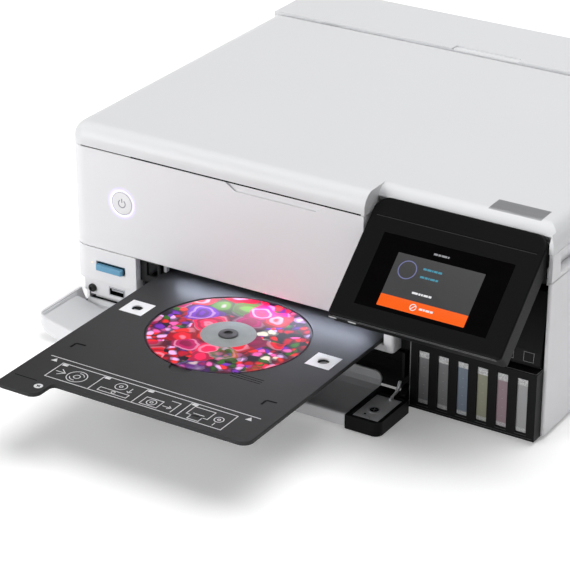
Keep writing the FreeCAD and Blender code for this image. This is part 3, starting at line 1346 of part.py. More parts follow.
@step
def scanner_top():
    """Frame round the document glass, with the posts of the lid's hinges."""
    top = unit_top
    low = top - D["GlassThickness"]
    bay, step_right = D["PanelBay"], fascia_right - 2.9
    front, back, side = size_of(5.0), lid_back, D["FasciaWrap"] + 0.4
    left = -inner + 0.4
    w, y0 = D["BedWidth"] / 2, D["BedFront"]
    y1 = y0 + D["BedDepth"]
    p = Piece("scanner_top_frame")
    p.pad("Z", low, top, poly(
        (-half, side), (-half, back), (half, back), (half, D["SetBack"]),
        (inner - 0.5, D["SetBack"]), (inner - 0.5, bay), (step_right, bay), (step_right, front),
        (left + 12.6, front), (left, side - 1.4), (left, side)))
    p.cut("Z", low, top, rect(-w, y0, w, y1))
    for x in (-146.0, 146.0):
        p.pad("X", x - 6.0, x + 6.0, rect(nose_y - 4.5, top, nose_y + 4.5, nose_z))
        p.pad("X", x - 6.0, x + 6.0, disc(nose_y, nose_z, 4.5))
        p.pad("X", x - 9.5, x + 9.5, disc(nose_y, nose_z, 2.0))
    glass = Piece("platen_glass")
    glass.pad("Z", low, top, rect(-w, y0, w, y1))


@step
def scan_bar():
    """Light bar that reads the page, riding on the rail in the scanner's tub."""
    rail, top = unit_floor + 5.2, unit_top - 3.0
    left = -half + 16.5
    p = Piece("scan_bar")
    p.pad("Z", rail + 0.3, top, rect(left, 42.0, left + 16.0, lid_back - 11.5))
    p.pad("Z", unit_floor + 3.0, rail + 0.3, rect(left, 154.0, left + 16.0, 159.6),
          rect(left, 166.4, left + 16.0, 172.0))
    p.cut("Z", top - 1.6, top, rect(left + 5.5, 50.0, left + 10.5, lid_back - 19.5))


@step
def document_lid():
    """Lid with rounded front and sides, a rear nose about its hinge and the panel's notch."""
    top, low = D["BodyHeight"], lid_floor
    p = Piece("document_lid")
    p.pad("Z", low, top, rect(-half, 0.0, half, lid_back))
    p.fillet(D["CornerRadius"], straight("z", x=-half, y=0.0))
    corner = within(flat(z=top), x=(-half, -half + 15.0), y=(0.0, 15.0))
    p.fillet(D["LidRounding"], either(
        straight("x", y=0.0, z=top), straight("y", x=-half, z=top),
        straight("y", x=half, z=top), corner))
    p.cut("X", -half - 1.0, half + 1.0, spandrel(lid_back, top, 1, 1, D["LidNose"]))
    p.cut("X", -half - 1.0, half + 1.0, spandrel(lid_back, low, 1, -1, D["LidNose"]))
    # notch that frees the control panel, rounded above it like the lid's front edge
    notch_left, notch_right = fascia_right + 0.5, panel_middle + D["PanelWidth"] / 2 + 1.0
    shoulder = top - 7.1
    p.cut("X", notch_left, notch_right, poly(
        (-1.0, low - 1.0), (D["NotchFoot"] + 0.9, low - 1.0), (D["NotchTop"] + 1.0, shoulder),
        (D["NotchTop"], shoulder), (D["NotchTop"], top + 1.0), (-1.0, top + 1.0)))
    p.cut("X", notch_left, notch_right, spandrel(D["NotchTop"], top, -1, 1, D["LidRounding"]))
    # narrow cheek right of the panel
    p.cut("X", notch_right, half + 1.0, poly(
        (-1.0, low - 1.0), (D["SetBack"], low - 1.0), (D["SetBack"], top + 1.0), (-1.0, top + 1.0)))
    p.cut("X", notch_right, half + 1.0, spandrel(D["SetBack"], top, -1, 1, D["LidRounding"]))
    edge = half - 8.0
    step_x = fascia_right - 4.0
    behind = D["NotchFoot"] + 7.0
    p.cut("Z", low, top - 2.8, poly(
        (-edge, 8.0), (step_x, 8.0), (step_x, behind), (edge, behind), (edge, 280.0),
        (-edge, 280.0)))
    # slots over the hinge posts, with a bearing for the pin in both cheeks
    for x in (-146.0, 146.0):
        p.cut("Z", low, top - 2.8, rect(x - 7.0, 280.0, x + 7.0, lid_back + 1.0))
        bearing = 2.0 + D["PinClearance"]
        p.cut("X", x - 10.0, x + 10.0, disc(nose_y, nose_z, bearing))


@step
def lid_pad():
    """White pad that presses the page, on four pillars under the lid's skin."""
    low, top = lid_floor, D["BodyHeight"] - 2.8
    p = Piece("lid_pad")
    p.pad("Z", low, low + 4.5, rect(-156.0, 48.0, 156.0, 276.0))
    p.pad("Z", low + 4.5, top, disc(-120.0, 80.0, 5.0), disc(120.0, 80.0, 5.0),
          disc(-120.0, 244.0, 5.0), disc(120.0, 244.0, 5.0))


# ---------------------------------------------------------------- build, prove, write


def check_shapes():
    """Stop when an object failed to compute or a cut took nothing away."""
    for obj in doc.Objects:
        if "Invalid" in obj.State or "Error" in obj.State:
            raise RuntimeError(f"{obj.Label} did not compute: {obj.State}")
    for cut, before in cuts:
        if before is not None and cut.Shape.Volume > before.Shape.Volume - 0.01:
            raise RuntimeError(f"{cut.Label} removes nothing")
    for node, obj in nodes.items():
        if obj.Shape.isNull() or not obj.Shape.isValid():
            raise RuntimeError(f"{node} has no valid shape")


def main():
    os.makedirs("parts", exist_ok=True)
    for function in build_steps:
        function()
    doc.recompute()
    check_shapes()
    for node, obj in nodes.items():
        obj.Shape.exportStep(os.path.join("parts", f"{node}.step"))
    print(len(nodes), "pieces")


main()
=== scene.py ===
"""Looks of a disc label printer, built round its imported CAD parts.

Lengths are written in millimetres in the CAD frame: X to the right, Y from the front fascia's
plane towards the back (the frame's origin lies 86 mm behind that plane), Z up from the table.
"""

from __future__ import annotations

import logging
import math
from dataclasses import dataclass
from enum import Enum

import bpy
import numpy as np
from mathutils import Matrix, Vector


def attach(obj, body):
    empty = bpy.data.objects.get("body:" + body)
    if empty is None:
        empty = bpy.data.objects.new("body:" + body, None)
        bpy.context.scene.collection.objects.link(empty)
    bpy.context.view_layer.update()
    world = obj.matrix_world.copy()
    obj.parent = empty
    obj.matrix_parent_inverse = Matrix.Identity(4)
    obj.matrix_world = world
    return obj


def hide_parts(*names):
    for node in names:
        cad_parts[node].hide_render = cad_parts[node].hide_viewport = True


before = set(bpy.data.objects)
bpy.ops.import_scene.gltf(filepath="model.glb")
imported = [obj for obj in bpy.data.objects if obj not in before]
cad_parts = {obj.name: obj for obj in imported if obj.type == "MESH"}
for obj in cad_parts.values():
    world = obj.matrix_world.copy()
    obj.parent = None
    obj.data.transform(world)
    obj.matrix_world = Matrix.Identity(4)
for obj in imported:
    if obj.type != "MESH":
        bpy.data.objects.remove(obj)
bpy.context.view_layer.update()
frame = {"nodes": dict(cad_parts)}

LOG = logging.getLogger("printer")
MM = 0.001
FRONT = -86.0
SHARP = math.radians(32)
Number = float | int
Triple = tuple[float, float, float]


# ---------------------------------------------------------------- shader maths


class Wire:
    """One number or colour of a material, which can be used in arithmetic."""

    def __init__(self, recipe: "Recipe", socket: bpy.types.NodeSocket) -> None:
        """Wrap an output socket of the recipe's tree."""
        self.recipe = recipe
        self.socket = socket

    def _math(self, operation: str, *values: "Wire | Number") -> "Wire":
        """Add a Math node over the values."""
        return self.recipe.math(operation, *values)

    def __add__(self, other: "Wire | Number") -> "Wire":
        """Sum."""
        return self._math("ADD", self, other)

    __radd__ = __add__

    def __sub__(self, other: "Wire | Number") -> "Wire":
        """Difference."""
        return self._math("SUBTRACT", self, other)

    def __rsub__(self, other: "Wire | Number") -> "Wire":
        """Difference with the wire on the right."""
        return self._math("SUBTRACT", other, self)

    def __mul__(self, other: "Wire | Number") -> "Wire":
        """Product."""
        return self._math("MULTIPLY", self, other)

    __rmul__ = __mul__

    def __truediv__(self, other: "Wire | Number") -> "Wire":
        """Quotient."""
        return self._math("DIVIDE", self, other)

    def clamp(self) -> "Wire":
        """Limit to the range from 0 to 1."""
        return self.recipe.math("ADD", self, 0.0, use_clamp=True)

    def band(self, low: Number, high: Number, soft: Number) -> "Wire":
        """1 between low and high, 0 outside, with edges as wide as soft."""
        return self.rise(low, soft) * (1 - self.rise(high, soft))

    def rise(self, at: Number, soft: Number) -> "Wire":
        """A smooth step from 0 to 1 centred on a value.

        Args:
            at: the middle of the step.
            soft: its width.

        Returns:
            The stepped value.
        """
        settings = {"interpolation_type": "SMOOTHSTEP"}
        feeds = {"Value": self, "From Min": at - soft / 2, "From Max": at + soft / 2}
        return self.recipe.node("ShaderNodeMapRange", settings, feeds).wire("Result")


class Made:
    """A node just added, whose outputs are read as wires."""

    def __init__(self, recipe: "Recipe", node: bpy.types.Node) -> None:
        """Keep the node and its recipe."""
        self.recipe = recipe
        self.node = node

    def wire(self, name: str | int) -> Wire:
        """The output of that name or number."""
        return Wire(self.recipe, self.node.outputs[name])


class Recipe:
    """A material whose node tree is written as Python expressions."""

    def __init__(self, name: str) -> None:
        """Start an empty material.

        Args:
            name: the material's name.
        """
        self.material = bpy.data.materials.new(name)
        self.material.use_nodes = True
        self.tree = self.material.node_tree
        self.tree.nodes.clear()
        self._point: Wire | None = None

    def node(self, kind: str, settings: dict | None = None, feeds: dict | None = None) -> Made:
        """Add a node, set its options, then feed its sockets.

        Args:
            kind: the node's Blender type.
            settings: attributes of the node; a ramp's stops go under "stops".
            feeds: socket name or number to a wire or a constant.

        Returns:
            The node with its outputs.
        """
        node = self.tree.nodes.new(kind)
        settings = dict(settings or {})
        stops = settings.pop("stops", None)
        for key, value in settings.items():
            setattr(node, key, value)
        if stops is not None:
            ramp = node.color_ramp
            while len(ramp.elements) < len(stops):
                ramp.elements.new(0.5)
            for element, (place, colour) in zip(ramp.elements, stops):
                element.position = place
                element.color = (*colour, 1.0)
        for key, value in (feeds or {}).items():
            socket = node.inputs[key]
            if isinstance(value, Wire):
                self.tree.links.new(value.socket, socket)
            elif isinstance(value, tuple) and socket.type == "RGBA":
                socket.default_value = (*value, 1.0)[:4]
            else:
                socket.default_value = value
        return Made(self, node)

    def math(self, operation: str, *values: Wire | Number, use_clamp: bool = False) -> Wire:
        """Add a Math node over wires and numbers.

        Args:
            operation: the node's operation.
            values: its inputs in order.
            use_clamp: limit the result to the range from 0 to 1.

        Returns:
            The result.
        """
        feeds = dict(enumerate(values))
        settings = {"operation": operation, "use_clamp": use_clamp}
        return self.node("ShaderNodeMath", settings, feeds).wire(0)

    def place(self, centre: Triple = (0, 0, 0), scale: Triple = (1, 1, 1)) -> Wire:
        """Object coordinates in metres about a centre, stretched by a scale.

        Args:
            centre: the point that becomes 0, in metres.
            scale: how often a pattern repeats along each axis.

        Returns:
            The point.
        """
        if self._point is None:
            self._point = self.node("ShaderNodeTexCoord").wire("Object")
        if centre == (0, 0, 0) and scale == (1, 1, 1):
            return self._point
        shift = tuple(-c * s for c, s in zip(centre, scale))
        feeds = {"Vector": self._point, "Location": shift, "Scale": scale}
        return self.node("ShaderNodeMapping", None, feeds).wire("Vector")

    def axes(self, point: Wire) -> tuple[Wire, Wire, Wire]:
        """The three coordinates of a point."""
        split = self.node("ShaderNodeSeparateXYZ", None, {"Vector": point})
        return split.wire(0), split.wire(1), split.wire(2)

    def noise(self, size: float, point: Wire | None = None, detail: float = 2.0) -> Wire:
        """Soft noise from 0 to 1 whose features are about size metres wide."""
        feeds = {"Vector": point or self.place(), "Scale": 1.0 / size, "Detail": detail}
        return self.node("ShaderNodeTexNoise", None, feeds).wire("Fac")

    def cells(self, size: float, point: Wire) -> Made:
        """A cell pattern with cells about size metres wide."""
        return self.node("ShaderNodeTexVoronoi", None, {"Vector": point, "Scale": 1.0 / size})

    def ramp(self, value: Wire, stops: list) -> Wire:
        """Colour by a value from 0 to 1.

        Args:
            value: what picks the colour.
            stops: (place, colour) pairs in order; each colour holds up to the next place.

        Returns:
            The colour.
        """
        made = self.node("ShaderNodeValToRGB", {"stops": stops}, {"Fac": value})
        made.node.color_ramp.interpolation = "CONSTANT"
        return made.wire("Color")

    def blend(self, low: Wire | Triple, high: Wire | Triple, share: Wire | Number) -> Wire:
        """Mix two colours by a share from 0 to 1."""
        settings = {"data_type": "RGBA", "clamp_result": False}
        return self.node("ShaderNodeMix", settings, {0: share, 6: low, 7: high}).wire(2)

    def relief(self, height: Wire, depth: float, round_edges: float = 0.0) -> Wire:
        """A normal raised by a height field.

        Args:
            height: from 0 to 1.
            depth: how deep the relief is, in metres.
            round_edges: radius of softened edges in metres, 0 for none.

        Returns:
            The normal.
        """
        feeds: dict = {"Height": height, "Distance": depth, "Strength": 1.0}
        if round_edges > 0:
            bevel = self.node("ShaderNodeBevel", {"samples": 6}, {"Radius": round_edges})
            feeds["Normal"] = bevel.wire("Normal")
        return self.node("ShaderNodeBump", None, feeds).wire("Normal")

    def surface(self, **feeds: Wire | Number | Triple) -> bpy.types.Material:
        """Close the material with a Principled shader fed by socket names with underscores.

        Args:
            feeds: a wire or a constant for each of the shader's sockets.

        Returns:
            The finished material.
        """
        named = {key.replace("_", " "): value for key, value in feeds.items()}
        shader = self.node("ShaderNodeBsdfPrincipled", None, named).wire("BSDF")
        self.node("ShaderNodeOutputMaterial", None, {"Surface": shader})
        return self.material


# ---------------------------------------------------------------- finishes


@dataclass(frozen=True)
class Moulded:
    """Injection-moulded plastic: an even colour with a fine spark-eroded grain.

    The colour drifts by a few parts in a hundred over long distances, the gloss drifts with it,
    and the relief is the grain's noise.
    """

    name: str
    colour: Triple
    roughness: float = 0.45
    grain: float = 0.0006
    depth: float = 0.00002
    drift: float = 0.03
    edge: float = 0.0005
    specular: float = 0.5

    def material(self) -> bpy.types.Material:
        """Write the recipe.

        Returns:
            The material.
        """
        r = Recipe(self.name)
        broad = r.noise(0.09, detail=3.0)
        fine = r.noise(self.grain, detail=1.0)
        dark = tuple(c * (1 - self.drift) for c in self.colour)
        light = tuple(min(1.0, c * (1 + self.drift)) for c in self.colour)
        colour = r.blend(dark, light, broad)
        speck = r.blend(colour, dark, fine.rise(0.62, 0.1) * 0.35)
        rough = (broad - 0.5) * 0.08 + (fine - 0.5) * 0.05 + self.roughness
        normal = r.relief(fine, self.depth, round_edges=self.edge)
        return r.surface(Base_Color=speck, Roughness=rough, Normal=normal,
                         Specular_IOR_Level=self.specular)


@dataclass(frozen=True)
class Sheet:
    """Rolled or turned metal with fine lines along one axis."""

    name: str
    colour: Triple
    roughness: float = 0.34
    lines: Triple = (4, 220, 220)

    def material(self) -> bpy.types.Material:
        """Write the recipe: stretched noise drives gloss and relief.

        Returns:
            The material.
        """
        r = Recipe(self.name)
        streak = r.noise(1.0, r.place(scale=tuple(4.0 * n for n in self.lines)), detail=3.0)
        broad = r.noise(0.03)
        colour = r.blend(tuple(c * 0.82 for c in self.colour), self.colour, streak * 0.6 + 0.3)
        rough = streak * 0.16 + broad * 0.1 + (self.roughness - 0.12)
        return r.surface(Base_Color=colour, Metallic=1.0, Roughness=rough,
                         Normal=r.relief(streak, 0.00003, round_edges=0.0003))


@dataclass(frozen=True)
class Rubber:
    """Matt rubber with dusty patches."""

    name: str
    colour: Triple
    ribs: float = 0.0

    def material(self) -> bpy.types.Material:
        """Write the recipe: dust lightens the colour, ribs run along X where asked for.

        Returns:
            The material.
        """
        r = Recipe(self.name)
        dust = r.noise(0.004, detail=4.0).rise(0.6, 0.3)
        colour = r.blend(self.colour, tuple(c * 1.9 + 0.01 for c in self.colour), dust * 0.5)
        height = r.noise(0.0004)
        if self.ribs:
            x, _, _ = r.axes(r.place())
            wave = r.math("SINE", x * (2 * math.pi / self.ribs)) * 0.5 + 0.5
            height = wave * 0.8 + height * 0.2
        return r.surface(Base_Color=colour, Roughness=dust * 0.1 + 0.72,
                         Normal=r.relief(height, 0.00012 if self.ribs else 0.00003))


@dataclass(frozen=True)
class InkResin:
    """Smoky tank walls, with the ink's tint up to its level and a paler band above it."""

    name: str
    inks: tuple[Triple, ...]
    levels: tuple[float, ...]
    first: float = 109.2
    pitch: float = 15.76
    highest: float = 60.0
    foot_top: float = 0.0112
    rib_pitch: float = 0.0011

    def material(self) -> bpy.types.Material:
        """Write the recipe: the tank's number comes from X, the level from Z.

        Returns:
            The material.
        """
        r = Recipe(self.name)
        x, _, z = r.axes(r.place())
        start = (self.first - self.pitch / 2) * MM
        share = ((x - start) / (self.pitch * 6 * MM)).clamp()
        steps = [(i / 6, ink) for i, ink in enumerate(self.inks)]
        ink = r.ramp(share, steps)
        heights = [(i / 6, (level / self.highest,) * 3) for i, level in enumerate(self.levels)]
        level = r.axes(r.ramp(share, heights))[0] * (self.highest * MM)
        above = (z - level).rise(0.0, 0.0007)
        foot = 1 - z.rise(self.foot_top, 0.0012)
        haze = r.noise(0.0035, detail=4.0)
        frost = r.noise(0.0005, detail=1.0)
        pale = r.blend((0.3, 0.3, 0.31), (0.62, 0.62, 0.62), frost.rise(0.5, 0.2))
        body = r.blend(ink, tuple(0.22 for _ in range(3)), haze * 0.12)
        wave = r.math("SINE", x * (2 * math.pi / self.rib_pitch)) * 0.5 + 0.5
        body = r.blend(body, pale, foot * 0.7)
        colour = r.blend(r.blend(body, pale, above), (0.6, 0.6, 0.6), wave * 0.06)
        return r.surface(Base_Color=colour, Roughness=frost * 0.12 + 0.34,
                         Normal=r.relief(frost, 0.00004), Coat_Weight=0.15)


@dataclass(frozen=True)
class TankCap:
    """Black caps, each with its ink's tint on the top."""

    name: str
    tint: Triple
    top_face: float = 0.0626

    def material(self) -> bpy.types.Material:
        """Write the recipe: the tint fills the top face.

        Returns:
            The material.
        """
        r = Recipe(self.name)
        _, _, z = r.axes(r.place())
        fine = r.noise(0.0005)
        top = z.rise(self.top_face, 0.0004)
        colour = r.blend((0.03, 0.03, 0.032), self.tint, top)
        return r.surface(Base_Color=colour, Roughness=fine * 0.08 + 0.34,
                         Normal=r.relief(fine, 0.00002, round_edges=0.0005))


@dataclass(frozen=True)
class DiscPrint:
    """Printable lacquer with an abstract mosaic of coloured pebbles round a bare hub area.

    Two cell patterns of different size are laid over each other; each pebble takes a colour from
    a ramp, darkens towards its rim and has a paler crescent. The bare ring is told by radius.
    """

    name: str
    centre: Triple = (-23.5, -51.0, 51.7)
    pebble: float = 0.021
    chip: float = 0.0062
    hub_radius: float = 0.0206
    seam: tuple[float, float] = (0.0168, 0.0172)
    rim_radius: float = 0.0592

    def material(self) -> bpy.types.Material:
        """Write the recipe.

        Returns:
            The material.
        """
        r = Recipe(self.name)
        cx, cy, cz = self.centre
        point = r.place((cx * MM, (cy + FRONT) * MM, cz * MM))
        x, y, _ = r.axes(point)
        radius = r.math("SQRT", x * x + y * y)
        warp = r.node("ShaderNodeTexNoise", None, {"Vector": point, "Scale": 60.0, "Detail": 2.0})
        bent = r.node("ShaderNodeVectorMath", {"operation": "MULTIPLY_ADD"},
                      {0: warp.wire("Color"), 1: (0.012, 0.012, 0.0), 2: point}).wire(0)
        big = r.cells(self.pebble, bent)
        small = r.cells(self.chip, bent)
        big_pick = r.axes(big.wire("Color"))
        small_pick = r.axes(small.wire("Color"))
        reds = [(0.0, (0.85, 0.003, 0.02)), (0.2, (0.95, 0.01, 0.1)), (0.36, (0.55, 0.0, 0.12)),
                (0.46, (0.95, 0.05, 0.3)), (0.56, (0.2, 0.03, 0.5)), (0.64, (0.95, 0.015, 0.01)),
                (0.78, (0.8, 0.2, 0.75)), (0.86, (0.08, 0.2, 0.01)), (0.92, (0.9, 0.0, 0.14))]
        base = r.ramp(big_pick[0], reds)
        chips = [(0.0, (0.55, 0.0, 0.02)), (0.18, (0.95, 0.12, 0.45)), (0.3, (0.006, 0.0, 0.006)),
                 (0.44, (0.9, 0.5, 0.9)), (0.54, (0.2, 0.02, 0.5)), (0.66, (0.03, 0.14, 0.005)),
                 (0.78, (0.95, 0.02, 0.02)), (0.95, (0.95, 0.8, 0.65))]
        fleck = r.ramp(small_pick[1], chips)
        near = big.wire("Distance")
        curl = r.math("SINE", near * 16.0 + big_pick[1] * 6.0) * 0.5 + 0.5
        petal = r.blend(base, (0.95, 0.5, 0.68), curl.rise(0.9, 0.2) * 0.45)
        petal = r.blend(petal, (0.06, 0.0, 0.012), (1 - curl).rise(0.8, 0.3) * 0.55)
        petal = r.blend(petal, (0.02, 0.0, 0.008), near.rise(0.66, 0.3) * 0.9)
        where = big_pick[2].rise(0.7, 0.05)
        chip_rim = small.wire("Distance").rise(0.5, 0.3)
        chip = r.blend(fleck, (0.01, 0.0, 0.012), chip_rim * 0.85)
        picture = r.blend(petal, chip, where)
        bare = 1 - radius.rise(self.hub_radius, 0.0003)
        frosted = r.blend((0.2, 0.215, 0.21), (0.31, 0.33, 0.325),
                          r.noise(0.012, point, detail=1.0))
        seam = radius.band(*self.seam, 0.0003) * 0.35
        ring = r.blend(frosted, (0.18, 0.19, 0.19), seam)
        colour = r.blend(picture, ring, bare)
        rim = radius.rise(self.rim_radius, 0.0004)
        colour = r.blend(colour, (0.03, 0.02, 0.03), rim * 0.8)
        tooth = r.noise(0.0004, detail=1.0)
        return r.surface(Base_Color=colour, Roughness=bare * -0.14 + 0.5 + tooth * 0.05,
                         Normal=r.relief(tooth, 0.00001), Specular_IOR_Level=0.14)


@dataclass(frozen=True)
class Board:
    """Green circuit board with tracks and black parts standing on it."""

    name: str
    face: float
    along: str = "x"

    def material(self) -> bpy.types.Material:
        """Write the recipe: what stands off the board's face is black.

        Returns:
            The material.
        """
        r = Recipe(self.name)
        x, y, _ = r.axes(r.place())
        height = x if self.along == "x" else y
        part = height.rise(self.face, 0.0003)
        tracks = r.node("ShaderNodeTexBrick", None, {
            "Vector": r.place(), "Scale": 90.0, "Color1": (0.03, 0.2, 0.07),
            "Color2": (0.02, 0.14, 0.05), "Mortar": (0.2, 0.28, 0.1), "Mortar Size": 0.05})
        colour = r.blend(tracks.wire("Color"), (0.02, 0.02, 0.022), part)
        return r.surface(Base_Color=colour, Roughness=part * 0.2 + 0.35,
                         Normal=r.relief(r.noise(0.001), 0.00003))


@dataclass(frozen=True)
class Glow:
    """Something that shines by itself, with a slight falloff in its colour."""

    name: str
    colour: Triple
    strength: float
    base: Triple = (0.8, 0.8, 0.8)
    patch: float = 0.004

    def material(self) -> bpy.types.Material:
        """Write the recipe: a faint unevenness in the emitted colour.

        Returns:
            The material.
        """
        r = Recipe(self.name)
        uneven = r.noise(self.patch)
        colour = r.blend(tuple(c * 0.93 for c in self.colour), self.colour, uneven)
        return r.surface(Base_Color=self.base, Roughness=uneven * 0.05 + 0.3,
                         Emission_Color=colour, Emission_Strength=self.strength)


@dataclass(frozen=True)
class Gloss:
    """Polished glass or lacquer with faint smears in its gloss."""

    name: str
    colour: Triple
    roughness: float = 0.06
    alpha: float = 1.0
    specular: float = 0.5

    def material(self) -> bpy.types.Material:
        """Write the recipe: long soft smears change the roughness.

        Returns:
            The material.
        """
        r = Recipe(self.name)
        smear = r.noise(0.02, r.place(scale=(1, 3, 1)), detail=4.0)
        tint = r.blend(self.colour, tuple(c * 1.15 + 0.001 for c in self.colour), smear)
        return r.surface(Base_Color=tint, Roughness=smear * 0.05 + self.roughness,
                         Alpha=self.alpha, Specular_IOR_Level=self.specular)


@dataclass(frozen=True)
class Ground:
    """Pale seamless floor: bright to the eye, but lighting the object like any white card."""

    name: str
    lift: float = 0.24
    reach: float = 2.0

    def material(self) -> bpy.types.Material:
        """Write the recipe: seen directly or in gloss it also glows, more so far away.

        Returns:
            The material.
        """
        r = Recipe(self.name)
        path = r.node("ShaderNodeLightPath")
        seen = r.math("MAXIMUM", path.wire("Is Camera Ray"), path.wire("Is Glossy Ray"))
        tone = r.blend((0.93, 0.93, 0.935), (0.95, 0.95, 0.95), r.noise(0.5))
        diffuse = r.node("ShaderNodeBsdfDiffuse", None, {"Color": tone}).wire(0)
        x, y, _ = r.axes(r.place())
        far = r.math("SQRT", x * x + y * y).rise(self.reach, 1.6) * 0.8
        glow = r.node("ShaderNodeEmission", None, {"Color": (1, 1, 1),
                                                   "Strength": seen * (far + self.lift)})
        both = r.node("ShaderNodeAddShader", None, {0: diffuse, 1: glow.wire(0)}).wire(0)
        r.node("ShaderNodeOutputMaterial", None, {"Surface": both})
        return r.material


# ---------------------------------------------------------------- surfaces from arrays


@dataclass(frozen=True)
class Stand:
    """A place and three directions: where a piece's own across, up and out point."""

    origin: Triple
    across: Triple = (1, 0, 0)
    up: Triple = (0, 1, 0)
    out: Triple = (0, 0, 1)

    def to_frame(self, points: np.ndarray) -> np.ndarray:
        """Turn (u, v, w) in millimetres into the frame's metres: origin + u a + v b + w c.

        Args:
            points: in the stand's millimetres, shape (..., 3).

        Returns:
            The points in the frame's metres, same shape.
        """
        basis = np.array([self.across, self.up, self.out], float)
        moved = points @ basis + np.array(self.origin, float)
        moved[..., 1] += FRONT
        return moved * MM


TABLE = Stand((0, 0, 0))
TILT = math.radians(42.2)
PANEL = Stand((129.0, 13.96, 142.57), (1, 0, 0), (0, math.cos(TILT), math.sin(TILT)),
              (0, -math.sin(TILT), math.cos(TILT)))


def facing_front(x: float, y: float, z: float) -> Stand:
    """A stand on an upright face that looks at the viewer in front."""
    return Stand((x, y, z), (1, 0, 0), (0, 0, 1), (0, -1, 0))


def facing_back(x: float, y: float, z: float) -> Stand:
    """A stand on the back, looking away."""
    return Stand((x, y, z), (-1, 0, 0), (0, 0, 1), (0, 1, 0))


def rounded_outline(width: float, height: float, radius: float, steps: int = 7) -> np.ndarray:
    """A rectangle with quarter circles in its corners, anticlockwise, centred on 0.

    Args:
        width: across.
        height: up.
        radius: of the corners.
        steps: points along each quarter.

    Returns:
        Points, shape (4 steps, 2): corner centre + radius (cos, sin) of the angle.
    """
    radius = max(min(radius, width / 2 - 1e-4, height / 2 - 1e-4), 1e-4)
    quarter = np.linspace(0, math.pi / 2, steps)
    angles = np.concatenate([quarter + k * math.pi / 2 for k in range(4)])
    signs = np.repeat(np.array([[1, 1], [-1, 1], [-1, -1], [1, -1]], float), steps, axis=0)
    centres = signs * np.array([width / 2 - radius, height / 2 - radius])
    return centres + radius * np.stack([np.cos(angles), np.sin(angles)], axis=1)


def grid_faces(rows: int, columns: int, closed: bool) -> np.ndarray:
    """Quads of a grid of rows by columns, wrapping round the columns where closed.

    Args:
        rows: number of rows of points.
        columns: number of points in a row.
        closed: whether the last column joins the first.

    Returns:
        Vertex numbers, shape (quads, 4); point (row, column) is row * columns + column.
    """
    r = np.arange(rows - 1)[:, None]
    c = np.arange(columns if closed else columns - 1)[None, :]
    after = (c + 1) % columns
    corners = [r * columns + c, r * columns + after, (r + 1) * columns + after,
               (r + 1) * columns + c]
    full = [np.broadcast_to(k, (rows - 1, c.shape[1])) for k in corners]
    return np.stack(full, -1).reshape(-1, 4)


def mesh(name: str, points: np.ndarray, faces: list, finish: Ink | str,
         body: str | None, smooth: bool = True) -> bpy.types.Object:
    """Link a mesh and let it ride.

    Args:
        name: the piece's name.
        points: in the frame, metres, shape (n, 3).
        faces: lists of vertex numbers, turned outwards.
        finish: an ink, or the name of a CAD finish.
        body: the CAD body that carries it, or None for the floor.
        smooth: shade across faces that meet at a low angle.

    Returns:
        The object.
    """
    data = bpy.data.meshes.new(name)
    data.from_pydata(points.reshape(-1, 3).tolist(), [], faces)
    data.validate()
    if body is not None:
        face_outwards(data)
    if smooth:
        data.set_sharp_from_angle(angle=SHARP)
        data.polygons.foreach_set("use_smooth", np.ones(len(data.polygons), bool))
    data.materials.append(finish.material() if isinstance(finish, Ink)
                          else bpy.data.materials[finish])
    thing = bpy.data.objects.new(name, data)
    bpy.context.scene.collection.objects.link(thing)
    if body is not None:
        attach(thing, body)
    return thing


def face_outwards(data: bpy.types.Mesh) -> None:
    """Turn a closed skin whose volume, a sixth of the sum of a . (b x c), is below nought.

    Args:
        data: the mesh, changed in place.
    """
    places = np.empty(len(data.vertices) * 3)
    data.vertices.foreach_get("co", places)
    data.calc_loop_triangles()
    corners = np.empty(len(data.loop_triangles) * 3, dtype=np.int32)
    data.loop_triangles.foreach_get("vertices", corners)
    places = places.reshape(-1, 3) - places.reshape(-1, 3).mean(axis=0)
    a, b, c = (places[corners.reshape(-1, 3)[:, n]] for n in range(3))
    if (a * np.cross(b, c)).sum() < 0:
        data.flip_normals()


def stack(name: str, rings: np.ndarray, stand: Stand, finish: Ink | str,
          body: str) -> bpy.types.Object:
    """A closed skin through rings laid one above the other.

    Args:
        name: the piece's name.
        rings: shape (levels, points, 3) in the stand's millimetres, anticlockwise from above.
        stand: where it stands.
        finish: an ink, or the name of a CAD finish.
        body: the CAD body that carries it.

    Returns:
        The object.
    """
    levels, count, _ = rings.shape
    faces = grid_faces(levels, count, True).tolist()
    faces.append(list(range(count))[::-1])
    faces.append(list(range((levels - 1) * count, levels * count)))
    return mesh(name, stand.to_frame(rings), faces, finish, body)


def slab(name: str, stand: Stand, width: float, height: float, thick: float, radius: float,
         edge: float, finish: Ink | str, body: str) -> bpy.types.Object:
    """A rounded plate whose upper edge is rolled over by a quarter circle.

    The ring at angle a of the roll is drawn in by edge (1 - cos a) at height
    thick - edge + edge sin a.

    Args:
        name: the piece's name.
        stand: where the middle of its lower face stands.
        width: across.
        height: up.
        thick: how far it stands out.
        radius: of its four corners.
        edge: of the rolled edge.
        finish: an ink, or the name of a CAD finish.
        body: the CAD body that carries it.

    Returns:
        The object.
    """
    edge = min(edge, thick, radius if radius > 0 else thick)
    turns = np.linspace(0, math.pi / 2, 5)
    insets = np.concatenate([[0.0], edge * (1 - np.cos(turns))])
    rises = np.concatenate([[0.0], thick - edge + edge * np.sin(turns)])
    rings = []
    for inset, rise in zip(insets, rises):
        flat = rounded_outline(width - 2 * inset, height - 2 * inset, radius - inset)
        rings.append(np.column_stack([flat, np.full(len(flat), rise)]))
    return stack(name, np.array(rings), stand, finish, body)


